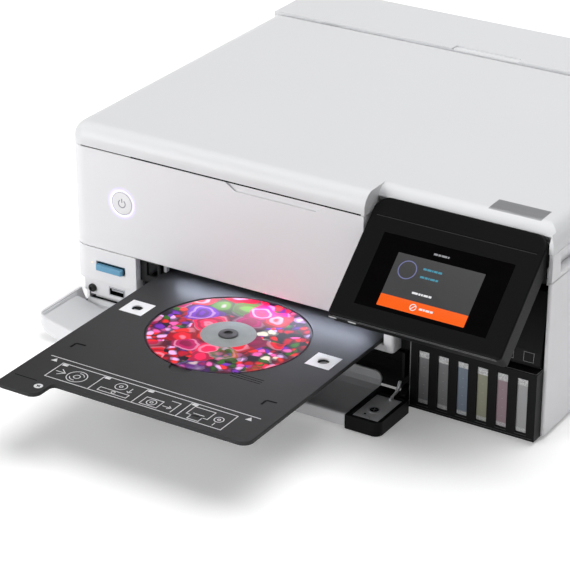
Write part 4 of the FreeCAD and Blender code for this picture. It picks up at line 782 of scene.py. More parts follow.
def turned(name: str, stand: Stand, profile: list, finish: Ink | str, body: str,
           steps: int = 48, turn: float = 0.0) -> bpy.types.Object:
    """A profile of (radius, height) pairs carried once round the stand's out direction.

    The point at angle a lies at radius (cos a, sin a); turn shifts a, in degrees.

    Args:
        name: the piece's name.
        stand: where the axis starts.
        profile: (radius, height) pairs from the foot to the top.
        finish: an ink, or the name of a CAD finish.
        body: the CAD body that carries it.
        steps: points round the axis.
        turn: where the first of them lies, in degrees.

    Returns:
        The object.
    """
    angles = np.linspace(0, 2 * math.pi, steps, endpoint=False) + math.radians(turn)
    pairs = np.array(profile, float)
    rings = np.stack([
        pairs[:, 0:1] * np.cos(angles)[None], pairs[:, 0:1] * np.sin(angles)[None],
        np.repeat(pairs[:, 1:2], steps, axis=1)], axis=-1)
    return stack(name, rings, stand, finish, body)


def sleeve(name: str, stand: Stand, outer: tuple, inner: tuple, radius: float, length: float,
           finish: Ink | str, body: str) -> bpy.types.Object:
    """A rectangular tube with rounded corners, as one closed skin.

    Four rings follow each other round the wall: outer low, outer high, inner high, inner low.

    Args:
        name: the piece's name.
        stand: where its lower end stands.
        outer: the wall's outer width and height.
        inner: the wall's inner width and height.
        radius: of the corners.
        length: how far it stands out.
        finish: an ink, or the name of a CAD finish.
        body: the CAD body that carries it.

    Returns:
        The object.
    """
    rings = []
    for (width, height), level in ((outer, 0.0), (outer, length), (inner, length), (inner, 0.0)):
        flat = rounded_outline(width, height, radius)
        rings.append(np.column_stack([flat, np.full(len(flat), level)]))
    count = len(rings[0])
    faces = grid_faces(5, count, True) % (4 * count)
    return mesh(name, stand.to_frame(np.array(rings)), faces.tolist(), finish, body)


def strokes(name: str, stand: Stand, lines: list, width: float, thick: float,
            finish: Ink | str, body: str) -> bpy.types.Object:
    """Printed or scored lines: each polyline becomes a flat raised ribbon.

    The ribbon's two rails lie half a width either side of the line, along the mean normal of
    the segments that meet at each point, lengthened at bends so that the width stays even.

    Args:
        name: the piece's name.
        stand: where it stands.
        lines: polylines of (across, up) points; one that ends where it starts is closed.
        width: of the ribbons.
        thick: how far they stand out.
        finish: an ink, or the name of a CAD finish.
        body: the CAD body that carries it.

    Returns:
        The object.
    """
    points, faces, start = [], [], 0
    for line in lines:
        path = np.array(line, float)
        shut = len(path) > 2 and np.allclose(path[0], path[-1])
        if shut:
            path = path[:-1]
        ahead = np.roll(path, -1, axis=0) - path
        behind = path - np.roll(path, 1, axis=0)
        if not shut:
            ahead[-1], behind[0] = behind[-1], ahead[0]
        ahead /= np.linalg.norm(ahead, axis=1, keepdims=True)
        behind /= np.linalg.norm(behind, axis=1, keepdims=True)
        normal = np.stack([-(ahead + behind)[:, 1], (ahead + behind)[:, 0]], axis=1)
        normal /= np.maximum(np.linalg.norm(normal, axis=1, keepdims=True), 1e-6)
        side = np.stack([-ahead[:, 1], ahead[:, 0]], axis=1)
        reach = width / 2 / np.maximum((normal * side).sum(1, keepdims=True), 0.4)
        left, right = path + normal * reach, path - normal * reach
        n = len(path)
        ring = np.stack([
            np.column_stack([right, np.zeros(n)]), np.column_stack([right, np.full(n, thick)]),
            np.column_stack([left, np.full(n, thick)]), np.column_stack([left, np.zeros(n)])],
            axis=1)
        points.append(ring.reshape(-1, 3))
        count = n if shut else n - 1
        k = np.arange(count)[:, None]
        after = (k + 1) % n
        for a in range(4):
            b = (a + 1) % 4
            quad = np.hstack([k * 4 + a, after * 4 + a, after * 4 + b, k * 4 + b]) + start
            faces.extend(quad[:, ::-1].tolist())
        if not shut:
            faces.append([start + i for i in (3, 2, 1, 0)][::-1])
            faces.append([start + 4 * (n - 1) + i for i in (0, 1, 2, 3)][::-1])
        start += 4 * n
    flat = np.concatenate(points)
    return mesh(name, stand.to_frame(flat), faces, finish, body, smooth=False)


def tube(name: str, stand: Stand, path: list, radius: float, finish: Ink | str,
         body: str, steps: int = 12) -> bpy.types.Object:
    """A round section carried along a path in the stand's frame.

    Each ring stands square to the path; its two directions come from the tangent and from
    the out direction.

    Args:
        name: the piece's name.
        stand: where it stands.
        path: points of its middle line.
        radius: of the section.
        finish: an ink, or the name of a CAD finish.
        body: the CAD body that carries it.
        steps: points round the section.

    Returns:
        The object.
    """
    line = np.array(path, float)
    tangent = np.gradient(line, axis=0)
    tangent /= np.linalg.norm(tangent, axis=1, keepdims=True)
    helper = np.array([0.0, 0.0, 1.0]) + 0.01
    first = np.cross(tangent, helper)
    first /= np.linalg.norm(first, axis=1, keepdims=True)
    second = np.cross(tangent, first)
    angles = np.linspace(0, 2 * math.pi, steps, endpoint=False)
    rings = (line[:, None] + radius * (np.cos(angles)[None, :, None] * first[:, None]
                                       + np.sin(angles)[None, :, None] * second[:, None]))
    return stack(name, rings, stand, finish, body)


def circle(u: float, v: float, radius: float, start: float = 0.0, end: float = 360.0,
           steps: int = 33) -> list:
    """Points on an arc about (u, v), from one angle in degrees to another."""
    angles = np.radians(np.linspace(start, end, steps))
    return np.stack([u + radius * np.cos(angles), v + radius * np.sin(angles)], axis=1).tolist()


def frame_line(u0: float, v0: float, u1: float, v1: float) -> list:
    """A closed rectangle as a polyline."""
    return [(u0, v0), (u1, v0), (u1, v1), (u0, v1), (u0, v0)]


# ---------------------------------------------------------------- finishes of the CAD pieces


@dataclass(frozen=True)
class LidShell:
    """The lid's fine satin shell, with a bare brushed plate let into its top."""

    name: str = "lid_shell"
    colour: Triple = (0.78, 0.785, 0.8)
    plate: tuple[float, float, float, float] = (142.7, 27.1, 183.7, 44.4)
    top_face: float = 0.1615

    def material(self) -> bpy.types.Material:
        """Write the recipe: the plate is a rectangle in X and Y on the top face.

        Returns:
            The material.
        """
        r = Recipe(self.name)
        x, y, z = r.axes(r.place())
        x0, y0, x1, y1 = self.plate
        across = x.band(x0 * MM, x1 * MM, 0.0002)
        along = y.band((y0 + FRONT) * MM, (y1 + FRONT) * MM, 0.0002)
        inside = across * along * z.rise(self.top_face, 0.0002)
        broad = r.noise(0.12, detail=3.0)
        fine = r.noise(0.0006, detail=1.0)
        lines = r.noise(1.0, r.place(scale=(40, 2400, 40)), detail=2.0)
        shell = r.blend(tuple(c * 0.98 for c in self.colour), self.colour, broad)
        metal = r.blend((0.36, 0.365, 0.38), (0.5, 0.5, 0.52), lines)
        colour = r.blend(shell, metal, inside)
        rough = (fine - 0.5) * 0.05 + 0.42 + inside * (lines * 0.15 - 0.16)
        normal = r.relief(fine, 0.00002, round_edges=0.0006)
        return r.surface(Base_Color=colour, Roughness=rough, Metallic=inside * 0.7, Normal=normal)


@dataclass(frozen=True)
class WhiteShell:
    """The white shell, lit faintly round the power button by its lamp ring."""

    name: str = "white_shell"
    colour: Triple = (0.86, 0.855, 0.875)
    lamp: Triple = (-152.0, 0.0, 106.0)
    halo: Triple = (0.36, 0.26, 1.0)
    halo_radius: float = 0.0122
    halo_fade: float = 0.0035

    def material(self) -> bpy.types.Material:
        """Write the recipe: the halo falls off with the distance from the button's axis.

        Returns:
            The material.
        """
        r = Recipe(self.name)
        x, y, z = r.axes(r.place())
        dx = x - self.lamp[0] * MM
        dz = z - self.lamp[2] * MM
        away = r.math("SQRT", dx * dx + dz * dz)
        near = 1 - away.rise(self.halo_radius, self.halo_fade)
        front = 1 - y.rise((FRONT + 2.0) * MM, 0.001)
        broad = r.noise(0.1, detail=3.0)
        fine = r.noise(0.0006, detail=1.0)
        colour = r.blend(tuple(c * 0.975 for c in self.colour), self.colour, broad)
        glow = r.blend((0.0, 0.0, 0.0), self.halo, near * front * 0.5)
        rough = (fine - 0.5) * 0.05 + broad * 0.05 + 0.36
        return r.surface(Base_Color=colour, Roughness=rough, Emission_Color=glow,
                         Emission_Strength=1.0,
                         Normal=r.relief(fine, 0.000015, round_edges=0.0006))


FINISHES = {finish.name: finish for finish in (
    WhiteShell(),
    LidShell(),
    Moulded("dark_trim", (0.013, 0.013, 0.014), 0.5, specular=0.2),
    Moulded("black_shell", (0.0045, 0.0045, 0.005), 0.44, specular=0.12),
    Moulded("panel_black", (0.0045, 0.0045, 0.0048), 0.46, specular=0.1),
    Moulded("tray_grey", (0.034, 0.034, 0.035), 0.54, depth=0.00004, specular=0.2),
    Moulded("silver_liner", (0.74, 0.745, 0.765), 0.34),
    Rubber("foot_rubber", (0.02, 0.02, 0.02)),
    Sheet("frame_steel", (0.62, 0.62, 0.6), 0.36),
    Sheet("rod_steel", (0.82, 0.82, 0.82), 0.2),
    Board("board", -0.1903),
    Sheet("socket_metal", (0.66, 0.67, 0.7), 0.3, (60, 60, 60)),
    Sheet("motor_metal", (0.42, 0.42, 0.42), 0.4, (40, 40, 40)),
    Rubber("belt_rubber", (0.02, 0.02, 0.02), ribs=0.002),
    Rubber("roller_rubber", (0.06, 0.06, 0.062)),
    TankCap("cap_plastic", (0.03, 0.03, 0.032)),
    Glow("light_ring", (0.7, 0.62, 1.0), 0.8),
    Moulded("button_white", (0.9, 0.89, 0.91), 0.34),
    Moulded("card_blue", (0.13, 0.36, 0.55), 0.36, drift=0.08),
    Moulded("pad_white", (0.86, 0.86, 0.87), 0.5),
    Moulded("hub_grey", (0.03, 0.028, 0.03), 0.36),
    DiscPrint("disc_print"),
    Gloss("black_glass", (0.0009, 0.0006, 0.0007), 0.12, specular=0.1),
    Gloss("display", (0.01, 0.01, 0.011), 0.2),
    Gloss("bed_glass", (0.62, 0.72, 0.72), 0.03, 0.32),
    Moulded("pad_foam", (0.84, 0.84, 0.84), 0.7, grain=0.0012, depth=0.0001),
    Gloss("lens_bar", (0.02, 0.02, 0.023), 0.15),
    InkResin("tank_resin", (
        (0.125, 0.125, 0.13), (0.135, 0.135, 0.14), (0.115, 0.15, 0.2), (0.215, 0.215, 0.145),
        (0.235, 0.155, 0.18), (0.3, 0.3, 0.305)), (45.3, 45.0, 45.8, 44.8, 44.6, 45.2)),
)}
CAP_TINTS = ((0.05, 0.05, 0.05), (0.02, 0.02, 0.022), (0.0, 0.28, 0.5), (0.75, 0.6, 0.02),
             (0.6, 0.02, 0.25), (0.28, 0.28, 0.29))


NODE_FINISHES = {
    # pale silver-grey, lightened past the plate's own colour as painted light so that the plate
    # stays bright in the panel's shadow
    "cover_latch_plate": Moulded("latch_silver_and_painted_light", (0.88, 0.89, 0.91), 0.3, specular=0.6),
    "button_board": Board("button_board_face", -0.0764, "y"),
}


class Ink(Enum):
    """Finishes of the small pieces that only the dressed printer has."""

    PRINT_WHITE = Moulded("print_white", (0.72, 0.72, 0.73), 0.55)
    PRINT_GREY = Moulded("print_grey", (0.3, 0.3, 0.31), 0.55)
    # painted shade, less dark than the rest: the thin left end of the lid's seam shadow
    PRINT_DARK = Moulded("print_dark", (0.02, 0.02, 0.022), 0.5)
    GLYPH_GREY = Moulded("glyph_grey", (0.26, 0.25, 0.29), 0.5)
    # near black: painted shade in slots, grooves, holes, sockets and the lid's seam, and also the
    # dark magnet and the tab sign's cross
    RECESS = Moulded("dark_parts_and_painted_shade", (0.003, 0.003, 0.0035), 0.7, specular=0.06)
    SCREW = Sheet("screw_zinc", (0.5, 0.5, 0.5), 0.3, (80, 80, 80))
    SCREW_BLACK = Moulded("screw_black", (0.012, 0.012, 0.012), 0.3)
    BRASS = Sheet("contact_brass", (0.75, 0.56, 0.26), 0.28, (50, 50, 50))
    CARD_LABEL = Moulded("card_label", (0.16, 0.42, 0.62), 0.4)
    STRIP = Glow("strip_light", (0.76, 0.82, 1.0), 72.0)
    AMBER = Glow("amber_light", (0.8, 0.34, 0.05), 0.9)
    UI_GREY = Glow("screen_grey", (0.046, 0.046, 0.048), 1.0, (0.005, 0.005, 0.005))
    UI_ORANGE = Glow("screen_orange", (0.98, 0.115, 0.0), 1.0, (0.02, 0.005, 0.0))
    UI_WHITE = Glow("screen_white", (0.8, 0.8, 0.82), 1.0, (0.05, 0.05, 0.05))
    UI_BLUE = Glow("screen_blue", (0.05, 0.27, 0.36), 1.0, (0.02, 0.03, 0.05))
    UI_RING = Glow("screen_ring", (0.16, 0.17, 0.33), 1.0, (0.02, 0.02, 0.04))
    UI_LIGHT = Glow("screen_light", (0.3, 0.3, 0.32), 1.0, (0.02, 0.02, 0.02))
    # grey for painted highlights along edges, and for the cross on the latch magnet
    EDGE_GREY = Moulded("edge_grey", (0.3, 0.3, 0.305), 0.35)
    EDGE_DARK = Moulded("edge_dark", (0.06, 0.06, 0.062), 0.4)
    DISH = Moulded("dish_white", (0.84, 0.845, 0.86), 0.36)
    BAND = Gloss("flap_band", (0.0012, 0.0012, 0.0014), 0.16, specular=0.15)
    LENS = Glow("lamp_lens", (0.3, 0.3, 0.31), 0.5, (0.6, 0.6, 0.6))
    RIM = Moulded("rim_light", (0.62, 0.63, 0.66), 0.32)
    FLOOR = Ground("ground")

    def material(self) -> bpy.types.Material:
        """The material, written once and then reused."""
        made = bpy.data.materials.get(self.value.name)
        return made if made is not None else self.value.material()


@dataclass
class Wardrobe:
    """Gives every carried-over CAD node a finish by its material slot."""

    nodes: dict

    def dress(self) -> None:
        """Put the finishes on."""
        cache: dict[str, bpy.types.Material] = {}
        for name, thing in self.nodes.items():
            slots = [m.name.split(".")[0] if m else "" for m in thing.data.materials]
            for number, slot in enumerate(slots):
                finish = FINISHES.get(slot, FINISHES["dark_trim"])
                if name.startswith("tank_cap_"):
                    finish = TankCap(f"cap_{name[-1]}", CAP_TINTS[int(name[-1]) - 1])
                finish = NODE_FINISHES.get(name, finish)
                if finish.name not in cache:
                    cache[finish.name] = finish.material()
                thing.material_slots[number].link = "OBJECT"
                thing.material_slots[number].material = cache[finish.name]
            thing.data.set_sharp_from_angle(angle=SHARP)
        LOG.info("finished %d CAD nodes in %d materials", len(self.nodes), len(cache))


# ---------------------------------------------------------------- sub-assemblies


def contacts(name: str, first: Triple, count: int, width: float, thick: float, edge: float,
             body: str, pitch: float = 2.5) -> None:
    """A row of flat brass contacts that face down; contact n lies n pitches to the right.

    Args:
        name: of the pieces, before their number.
        first: where the first one lies.
        count: how many.
        width: of one.
        thick: how far it stands out.
        edge: of its rolled edge.
        body: the CAD body that carries them.
        pitch: from one to the next.
    """
    x, y, z = first
    for n in range(count):
        stand = Stand((x + pitch * n, y, z), (1, 0, 0), (0, -1, 0), (0, 0, -1))
        slab(f"{name}_{n + 1}", stand, width, 5.0, thick, 0.3, edge, Ink.BRASS, body)


@dataclass
class PowerButton:
    """The button's printed sign and the fine ring printed round its face."""

    x: float = -152.0
    z: float = 106.0
    face: float = -0.2
    radius: float = 3.1
    rim: float = 8.9

    def build(self) -> None:
        """A broken ring with an upright bar in the gap, and the fine ring."""
        stand = facing_front(self.x, self.face, self.z)
        arc = circle(0, -0.2, self.radius, 125, 415, 29)
        bar = [(0, 0.6), (0, self.radius + 0.8)]
        strokes("power_sign", stand, [arc, bar], 0.75, 0.06, Ink.GLYPH_GREY, "power_button")
        strokes("power_rim", stand, [circle(0, 0, self.rim, steps=49)], 0.25, 0.05, Ink.PRINT_GREY,
                "power_button")


@dataclass
class CardReader:
    """Lamp, painted shade of the slot's gap, screw and skirt of the card reader, and the card's
    label and contacts.
    """

    lamp: tuple[float, float] = (-182.0, 49.4)
    card: tuple[float, float] = (-164.6, 47.9)
    slot: Triple = (25.5, 5.7, 1.9)
    label: tuple[float, float] = (20.4, 20.0)
    label_at: tuple[float, float] = (12.0, 50.2)
    contacts_at: tuple[float, float] = (25.0, 45.6)
    screw: Triple = (-188.0, 8.0, 23.0)
    skirt: Triple = (-166.0, 15.0, 14.8)
    skirt_size: tuple[float, float] = (48.0, 5.2)

    def build(self) -> None:
        """The painted shade in the slot's gap follows the card's outline; the skirt fills in under
        the step.
        """
        face = facing_front(self.lamp[0], 0.0, self.lamp[1])
        slab("card_lamp", face, 1.6, 0.9, 0.12, 0.5, 0.1, Ink.AMBER, "housing")
        x, z = self.card
        loop = rounded_outline(*self.slot)
        # painted shade: a near-black ribbon round the card for the dark gap of the slot
        strokes("card_slot_shade", facing_front(x, 0.0, z), [np.vstack([loop, loop[:1]])], 0.9,
                0.05, Ink.RECESS, "housing")
        profile = [(3.3, 0.0), (3.3, 1.6), (2.8, 2.2), (1.5, 2.4), (1.2, 1.4), (0.05, 1.3)]
        turned("reader_screw", facing_front(*self.screw), profile, Ink.SCREW_BLACK, "housing")
        slab("card_label", Stand((x, *self.label_at)), *self.label, 0.05, 1.2, 0.04,
             Ink.CARD_LABEL, "memory_card")
        contacts("card_contact", (x - 8.75, *self.contacts_at), 8, 1.7, 0.04, 0.03,
                 "memory_card")
        slab("reader_skirt", facing_front(*self.skirt), *self.skirt_size, 0.6, 0.4, 0.2,
             "white_shell", "housing")


@dataclass
class UsbPort:
    """Dark sleeve and back plate painted as the shade inside the front socket, its tongue and
    contacts.
    """

    x: float = -165.0
    z: float = 24.0
    mouth: float = 7.7
    depth: float = 12.0
    outer: tuple[float, float] = (12.9, 5.1)
    inner: tuple[float, float] = (12.5, 4.7)
    back: tuple[float, float] = (12.6, 4.8)
    tongue: Triple = (11.0, 1.6, 8.5)

    def build(self) -> None:
        """The sleeve lines the socket's walls with painted shade, so that only the metal rim
        shows.
        """
        face = facing_front(self.x, self.mouth + self.depth, self.z)
        # painted shade: near-black lining and back plate inside the socket
        sleeve("usb_shade_sleeve", face, self.outer, self.inner, 0.4, self.depth, Ink.RECESS,
               "housing")
        slab("usb_back", face, *self.back, 0.4, 0.3, 0.1, Ink.RECESS, "housing")
        root = facing_front(self.x, self.mouth + 11.0, self.z + 1.0)
        slab("usb_tongue", root, *self.tongue, 0.3, 0.2, Ink.SCREW_BLACK, "housing")
        contacts("usb_contact", (self.x - 3.75, 14.0, self.z + 0.2), 4, 1.2, 0.12, 0.1,
                 "housing")


@dataclass
class DiscSlot:
    """Lamp strip over the slot, and the pale guide post at its left end."""

    left: float = -104.0
    right: float = 62.0
    lamp: tuple[float, float] = (4.0, 61.9)
    up: Triple = (0, -0.8, 0.6)
    out: Triple = (0, -0.6, -0.8)
    post: Triple = (-119.9, 13.0, 56.2)

    def build(self) -> None:
        """The strip hangs under the fascia's flange and shines forward and down on the tray."""
        middle = (self.left + self.right) / 2
        stand = Stand((middle, *self.lamp), (1, 0, 0), self.up, self.out)
        slab("slot_lamp", stand, self.right - self.left, 2.0, 0.4, 0.9, 0.3, Ink.STRIP, "housing")
        slab("slot_post", facing_front(*self.post), 2.8, 7.4, 4.0, 0.9, 0.5, Ink.PRINT_WHITE,
             "housing")


@dataclass
class TrayMarks:
    """Printed lines and signs on the disc tray, and painted shade in its shallow recessed marks
    and grooves.
    """

    top: float = 52.0
    left: float = -97.8
    right: float = 49.1
    low: float = -173.2
    high: float = -151.0
    line_ends: tuple[float, float] = (-112.2, 64.3)
    line_y: float = -146.0
    arrows: tuple[float, float] = (-105.6, 57.8)
    corners: tuple[float, float] = (-108.3, 53.3)
    tab_sign: tuple[float, float] = (-92.2, -188.0)
    tab_groove: tuple = ((-117.0, -182.0), (-98.0, -182.0))
    grooves: tuple[float, float, float] = (12.0, 37.0, -98.5)
    groove_pitch: float = 2.7
    corner_line: tuple = ((0.0, -128.5), (0.0, -122.6), (1.2, -121.4), (8.2, -121.0))

    def build(self) -> None:
        """A strip of four frames with generic signs, a line with two arrows, marks and a tab."""
        stand = Stand((0, 0, self.top))
        white, dark = Ink.PRINT_WHITE, Ink.RECESS
        step = (self.right - self.left) / 4
        middle = (self.low + self.high) / 2
        frames = [frame_line(self.left, self.low, self.right, self.high)]
        frames += [[(self.left + step * n, self.low), (self.left + step * n, self.high)]
                   for n in (1, 2, 3)]
        frames.append([(self.line_ends[0], self.line_y), (self.line_ends[1], self.line_y)])
        signs = [line for n in range(4)
                 for line in self.sign(n, self.left + step * (n + 0.5), middle)]
        strokes("tray_frames", stand, frames, 0.75, 0.06, white, "disc_tray")
        strokes("tray_signs", stand, signs, 0.7, 0.07, white, "disc_tray")
        for n, x in enumerate(self.arrows):
            spot = Stand((x, self.line_y - 4.6, self.top))
            turned(f"tray_arrow_{n + 1}", spot, [(3.0, 0.0), (3.0, 0.05), (0.05, 0.06)], white,
                   "disc_tray", steps=3, turn=90.0)
        for n in range(4):
            spot = Stand((self.left + step * n + 3.2, self.high - 1.9, self.top))
            slab(f"tray_key_{n + 1}", spot, 4.6, 2.8, 0.07, 0.5, 0.03, white, "disc_tray")
        x, y = self.tab_sign
        turned("tray_tab_sign", Stand((x, y, self.top)), [(3.3, 0.0), (3.3, 0.05), (3.0, 0.08),
                                                          (0.05, 0.08)], white, "disc_tray")
        strokes("tray_tab_cross", Stand((x, y, self.top + 0.08)),
                [[(-1.7, 0.9), (1.7, -0.9)], [(-0.6, -1.4), (0.7, 1.5)]], 0.8, 0.05, dark,
                "disc_tray")
        # painted shade: the corner marks and grooves are dark strokes for the shade in shallow
        # recesses
        marks = [[(a + dx, y) for dx, y in self.corner_line] for a in self.corners]
        strokes("tray_corner_mark_shade", stand, marks, 1.7, 0.08, dark, "disc_tray")
        start, end, y = self.grooves
        grooves = [list(self.tab_groove)]
        grooves += [[(start, y - self.groove_pitch * n), (end, y - self.groove_pitch * n)]
                    for n in range(3)]
        strokes("tray_groove_shade", stand, grooves, 0.7, 0.05, dark, "disc_tray")

    @staticmethod
    def sign(number: int, x: float, y: float) -> list:
        """Lines of one frame: disc in hand, disc on tray, tray to slot, tray in printer.

        Args:
            number: which frame, from 0 to 3.
            x: the frame's middle across.
            y: the frame's middle along the tray.

        Returns:
            Polylines.
        """
        y -= 0.8
        if number == 0:
            return [circle(x + 2, y, 7.6), circle(x + 2, y, 2.4), circle(x + 2, y, 5.2, 20, 100),
                    circle(x + 2, y, 5.2, 200, 280),
                    [(x - 13, y - 4), (x - 8, y), (x - 13, y + 4)], [(x - 16, y), (x - 8.5, y)]]
        if number == 1:
            return [frame_line(x - 12, y - 7.5, x + 12, y - 3), circle(x, y - 5.2, 1.4),
                    circle(x, y + 4.6, 4.4), circle(x, y + 4.6, 1.3),
                    [(x + 9, y + 6), (x + 9, y - 0.5)],
                    [(x + 7, y + 1.5), (x + 9, y - 0.5), (x + 11, y + 1.5)]]
        if number == 2:
            return [frame_line(x - 13, y - 8, x + 1, y + 2), circle(x - 6, y - 3, 3.6),
                    circle(x - 6, y - 3, 1.1), [(x + 3, y - 3), (x + 10, y - 3)],
                    [(x + 7.5, y - 0.8), (x + 10, y - 3), (x + 7.5, y - 5.2)],
                    [(x + 12.5, y - 8), (x + 12.5, y + 6), (x + 5, y + 6)]]
        return [frame_line(x - 14, y - 3, x + 3, y + 8), [(x - 10, y - 0.4), (x - 1, y - 0.4)],
                frame_line(x - 10, y - 8.5, x - 1, y - 3), circle(x + 10, y + 1, 3.4),
                circle(x + 10, y + 1, 1.0), [(x + 10, y - 4), (x + 10, y - 8)]]


@dataclass
class CoverShell:
    """White outer skin of the open front cover: floor, rolled front rim and flared left end.

    It is one closed skin through sections that stand across X. Each section is an L: the floor
    from the back to the front, and the rim. The flare is a quarter of an ellipse. The sections
    stand closer from bend before the flare's middle, and span is how far those reach.
    """

    right: float = 73.0
    left: float = -201.5
    flare: tuple[float, float] = (24.0, 18.0)
    wall: float = 2.5
    lip: float = 12.0
    side_top: float = 20.0
    front: float = -48.0
    back: float = 9.0
    roll: float = 1.3
    plan: float = 8.0
    bend: float = 4.0
    span: float = 27.85
    dish_right: float = -146.0
    dish_back: float = -1.2
    dish_foot: float = 8.9
    dish_rise: float = 10.4
    ear: Triple = (-199.2, 6.0, 8.0)

    def ellipse(self, x: np.ndarray, inset: float) -> np.ndarray:
        """Height of the flare's underside, or of its upper side with an inset.

        Height is top - b sqrt(1 - (d / a)^2), where d is the way past the flare's middle.

        Args:
            x: places across.
            inset: how far inside the outer skin.

        Returns:
            Heights at those places.
        """
        a, b = self.flare[0] - inset, self.flare[1] - inset
        past = np.clip((self.left + self.flare[0] - x) / a, 0.0, 1.0)
        return self.side_top - b * np.sqrt(1.0 - past ** 2)

    def rings(self) -> np.ndarray:
        """Sections from right to left, shape (stations, 10, 3).

        Returns:
            Points in millimetres, each section anticlockwise.
        """
        middle = self.left + self.flare[0]
        straight = np.linspace(self.right, middle + self.bend, 12)
        turn = np.linspace(0.0, math.pi / 2, 26)[1:]
        curved = middle + self.bend - self.span * np.sin(turn)
        x = np.concatenate([straight, curved])
        low, floor = self.ellipse(x, 0.0), self.ellipse(x, self.wall)
        rim = np.maximum(self.rim(x), floor)
        r = np.minimum(self.roll, (rim - low) / 2.4)
        y0 = self.front + self.corner(x)
        wall = y0 + self.wall
        back = np.full_like(x, self.back)
        corners = [(back, low), (y0 + r, low), (y0 + 0.3 * r, low + 0.3 * r), (y0, low + r),
                   (y0, rim - r), (y0 + 0.3 * r, rim - 0.3 * r), (y0 + r, rim), (wall, rim),
                   (wall, floor), (back, floor)]
        return np.stack([np.stack([x, y, z], axis=-1) for y, z in corners], axis=1)

    def bowl(self, x: np.ndarray) -> np.ndarray:
        """Height of the hollow end: it rises with the 1.25th power towards the left."""
        share = np.clip((self.dish_right - x) / (self.dish_right - self.left), 0.0, 1.0)
        return self.dish_foot + self.dish_rise * share ** 1.25

    def rim(self, x: np.ndarray) -> np.ndarray:
        """Height of the front rim: level, then a little above the hollow end."""
        return np.maximum(self.lip, np.minimum(self.bowl(x) + 0.8, self.side_top))

    def corner(self, x: np.ndarray) -> np.ndarray:
        """How far the front edge is drawn back: a quarter circle of the plan radius."""
        past = np.clip((self.left + self.plan - x) / self.plan, 0.0, 1.0)
        return self.plan * (1.0 - np.sqrt(1.0 - past ** 2))

    def dish(self) -> np.ndarray:
        """Sections of the hollow left end; each turns up a little towards the front rim.

        Returns:
            Points in millimetres, shape (stations, 24, 3): back to front, then below.
        """
        x = self.dish_right + (self.left + 0.9 - self.dish_right) * np.linspace(0, 1, 32) ** 0.8
        low = self.bowl(x)
        y0 = self.front + 1.5 + self.corner(x)
        depth = np.linspace(0.0, 1.0, 12)
        y = y0[:, None] + (self.dish_back - y0)[:, None] * depth
        turn = np.clip(1.0 - depth / 0.22, 0.0, 1.0) ** 2
        fall = np.clip((depth - 0.8) / 0.2, 0.0, 1.0) ** 2
        z = low[:, None] + np.maximum(self.rim(x) - low - 0.5, 0.0)[:, None] * turn - 0.6 * fall
        top = np.stack([np.broadcast_to(x[:, None], y.shape), y, z], axis=-1)
        return np.concatenate([top[:, ::-1], top - (0, 0, 0.7)], axis=1)

    def build(self) -> None:
        """Skin the sections, lay the dish in and add the left hinge ear."""
        stack("cover_dish", self.dish(), TABLE, Ink.DISH, "front_cover")
        shell = stack("cover_shell", self.rings(), TABLE, "white_shell", "front_cover")
        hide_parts("front_cover_shell")
        ear = Stand(self.ear, (0, 1, 0), (0, 0, 1), (1, 0, 0))
        turned("cover_ear", ear, [(3.4, 0.0), (3.4, 4.2), (2.0, 4.21), (2.0, 7.5), (0.05, 7.5)],
               "white_shell", "front_cover")


@dataclass
class FrontCover:
    """Edge bead of the open front cover's liner, and the latch's ring, magnet and the painted
    shade of its hole.
    """

    magnet: Triple = (86.5, -28.6, 10.8)
    bead_x: float = 71.8
    bead: tuple = ((4.2, 11.6), (0.0, 11.2), (-8.0, 10.6), (-44.0, 8.9))

    def build(self) -> None:
        """The bead is a thin rolled edge through (y, z) places along the liner's right side."""
        path = [(self.bead_x, y, z) for y, z in self.bead]
        tube("liner_rim", TABLE, path, 0.45, Ink.RIM, "front_cover")
        x, y, z = self.magnet
        for name, spot, profile, ink in (
                ("latch_ring", (x, y, z), [(4.5, 0.0), (4.4, 0.14), (0.05, 0.16)], Ink.RIM),
                ("latch_magnet", (x, y, z + 0.14), [(3.3, 0.0), (3.2, 0.14), (0.05, 0.16)],
                 Ink.RECESS)):
            turned(name, Stand(spot), profile, ink, "front_cover")
        strokes("latch_cross", Stand((x, y, z + 0.28)),
                [[(-2.2, -0.7), (2.2, 0.7)], [(-0.7, 2.2), (0.7, -2.2)]], 0.6, 0.06,
                Ink.EDGE_GREY, "front_cover")
        # painted shade: a near-black disc for the dark inside of the latch's hole
        turned("latch_hole_shade", Stand((x - 3.0, y - 8.2, z)), [(0.9, 0.0), (0.9, 0.06), (0.05, 0.08)],
               Ink.RECESS, "front_cover")


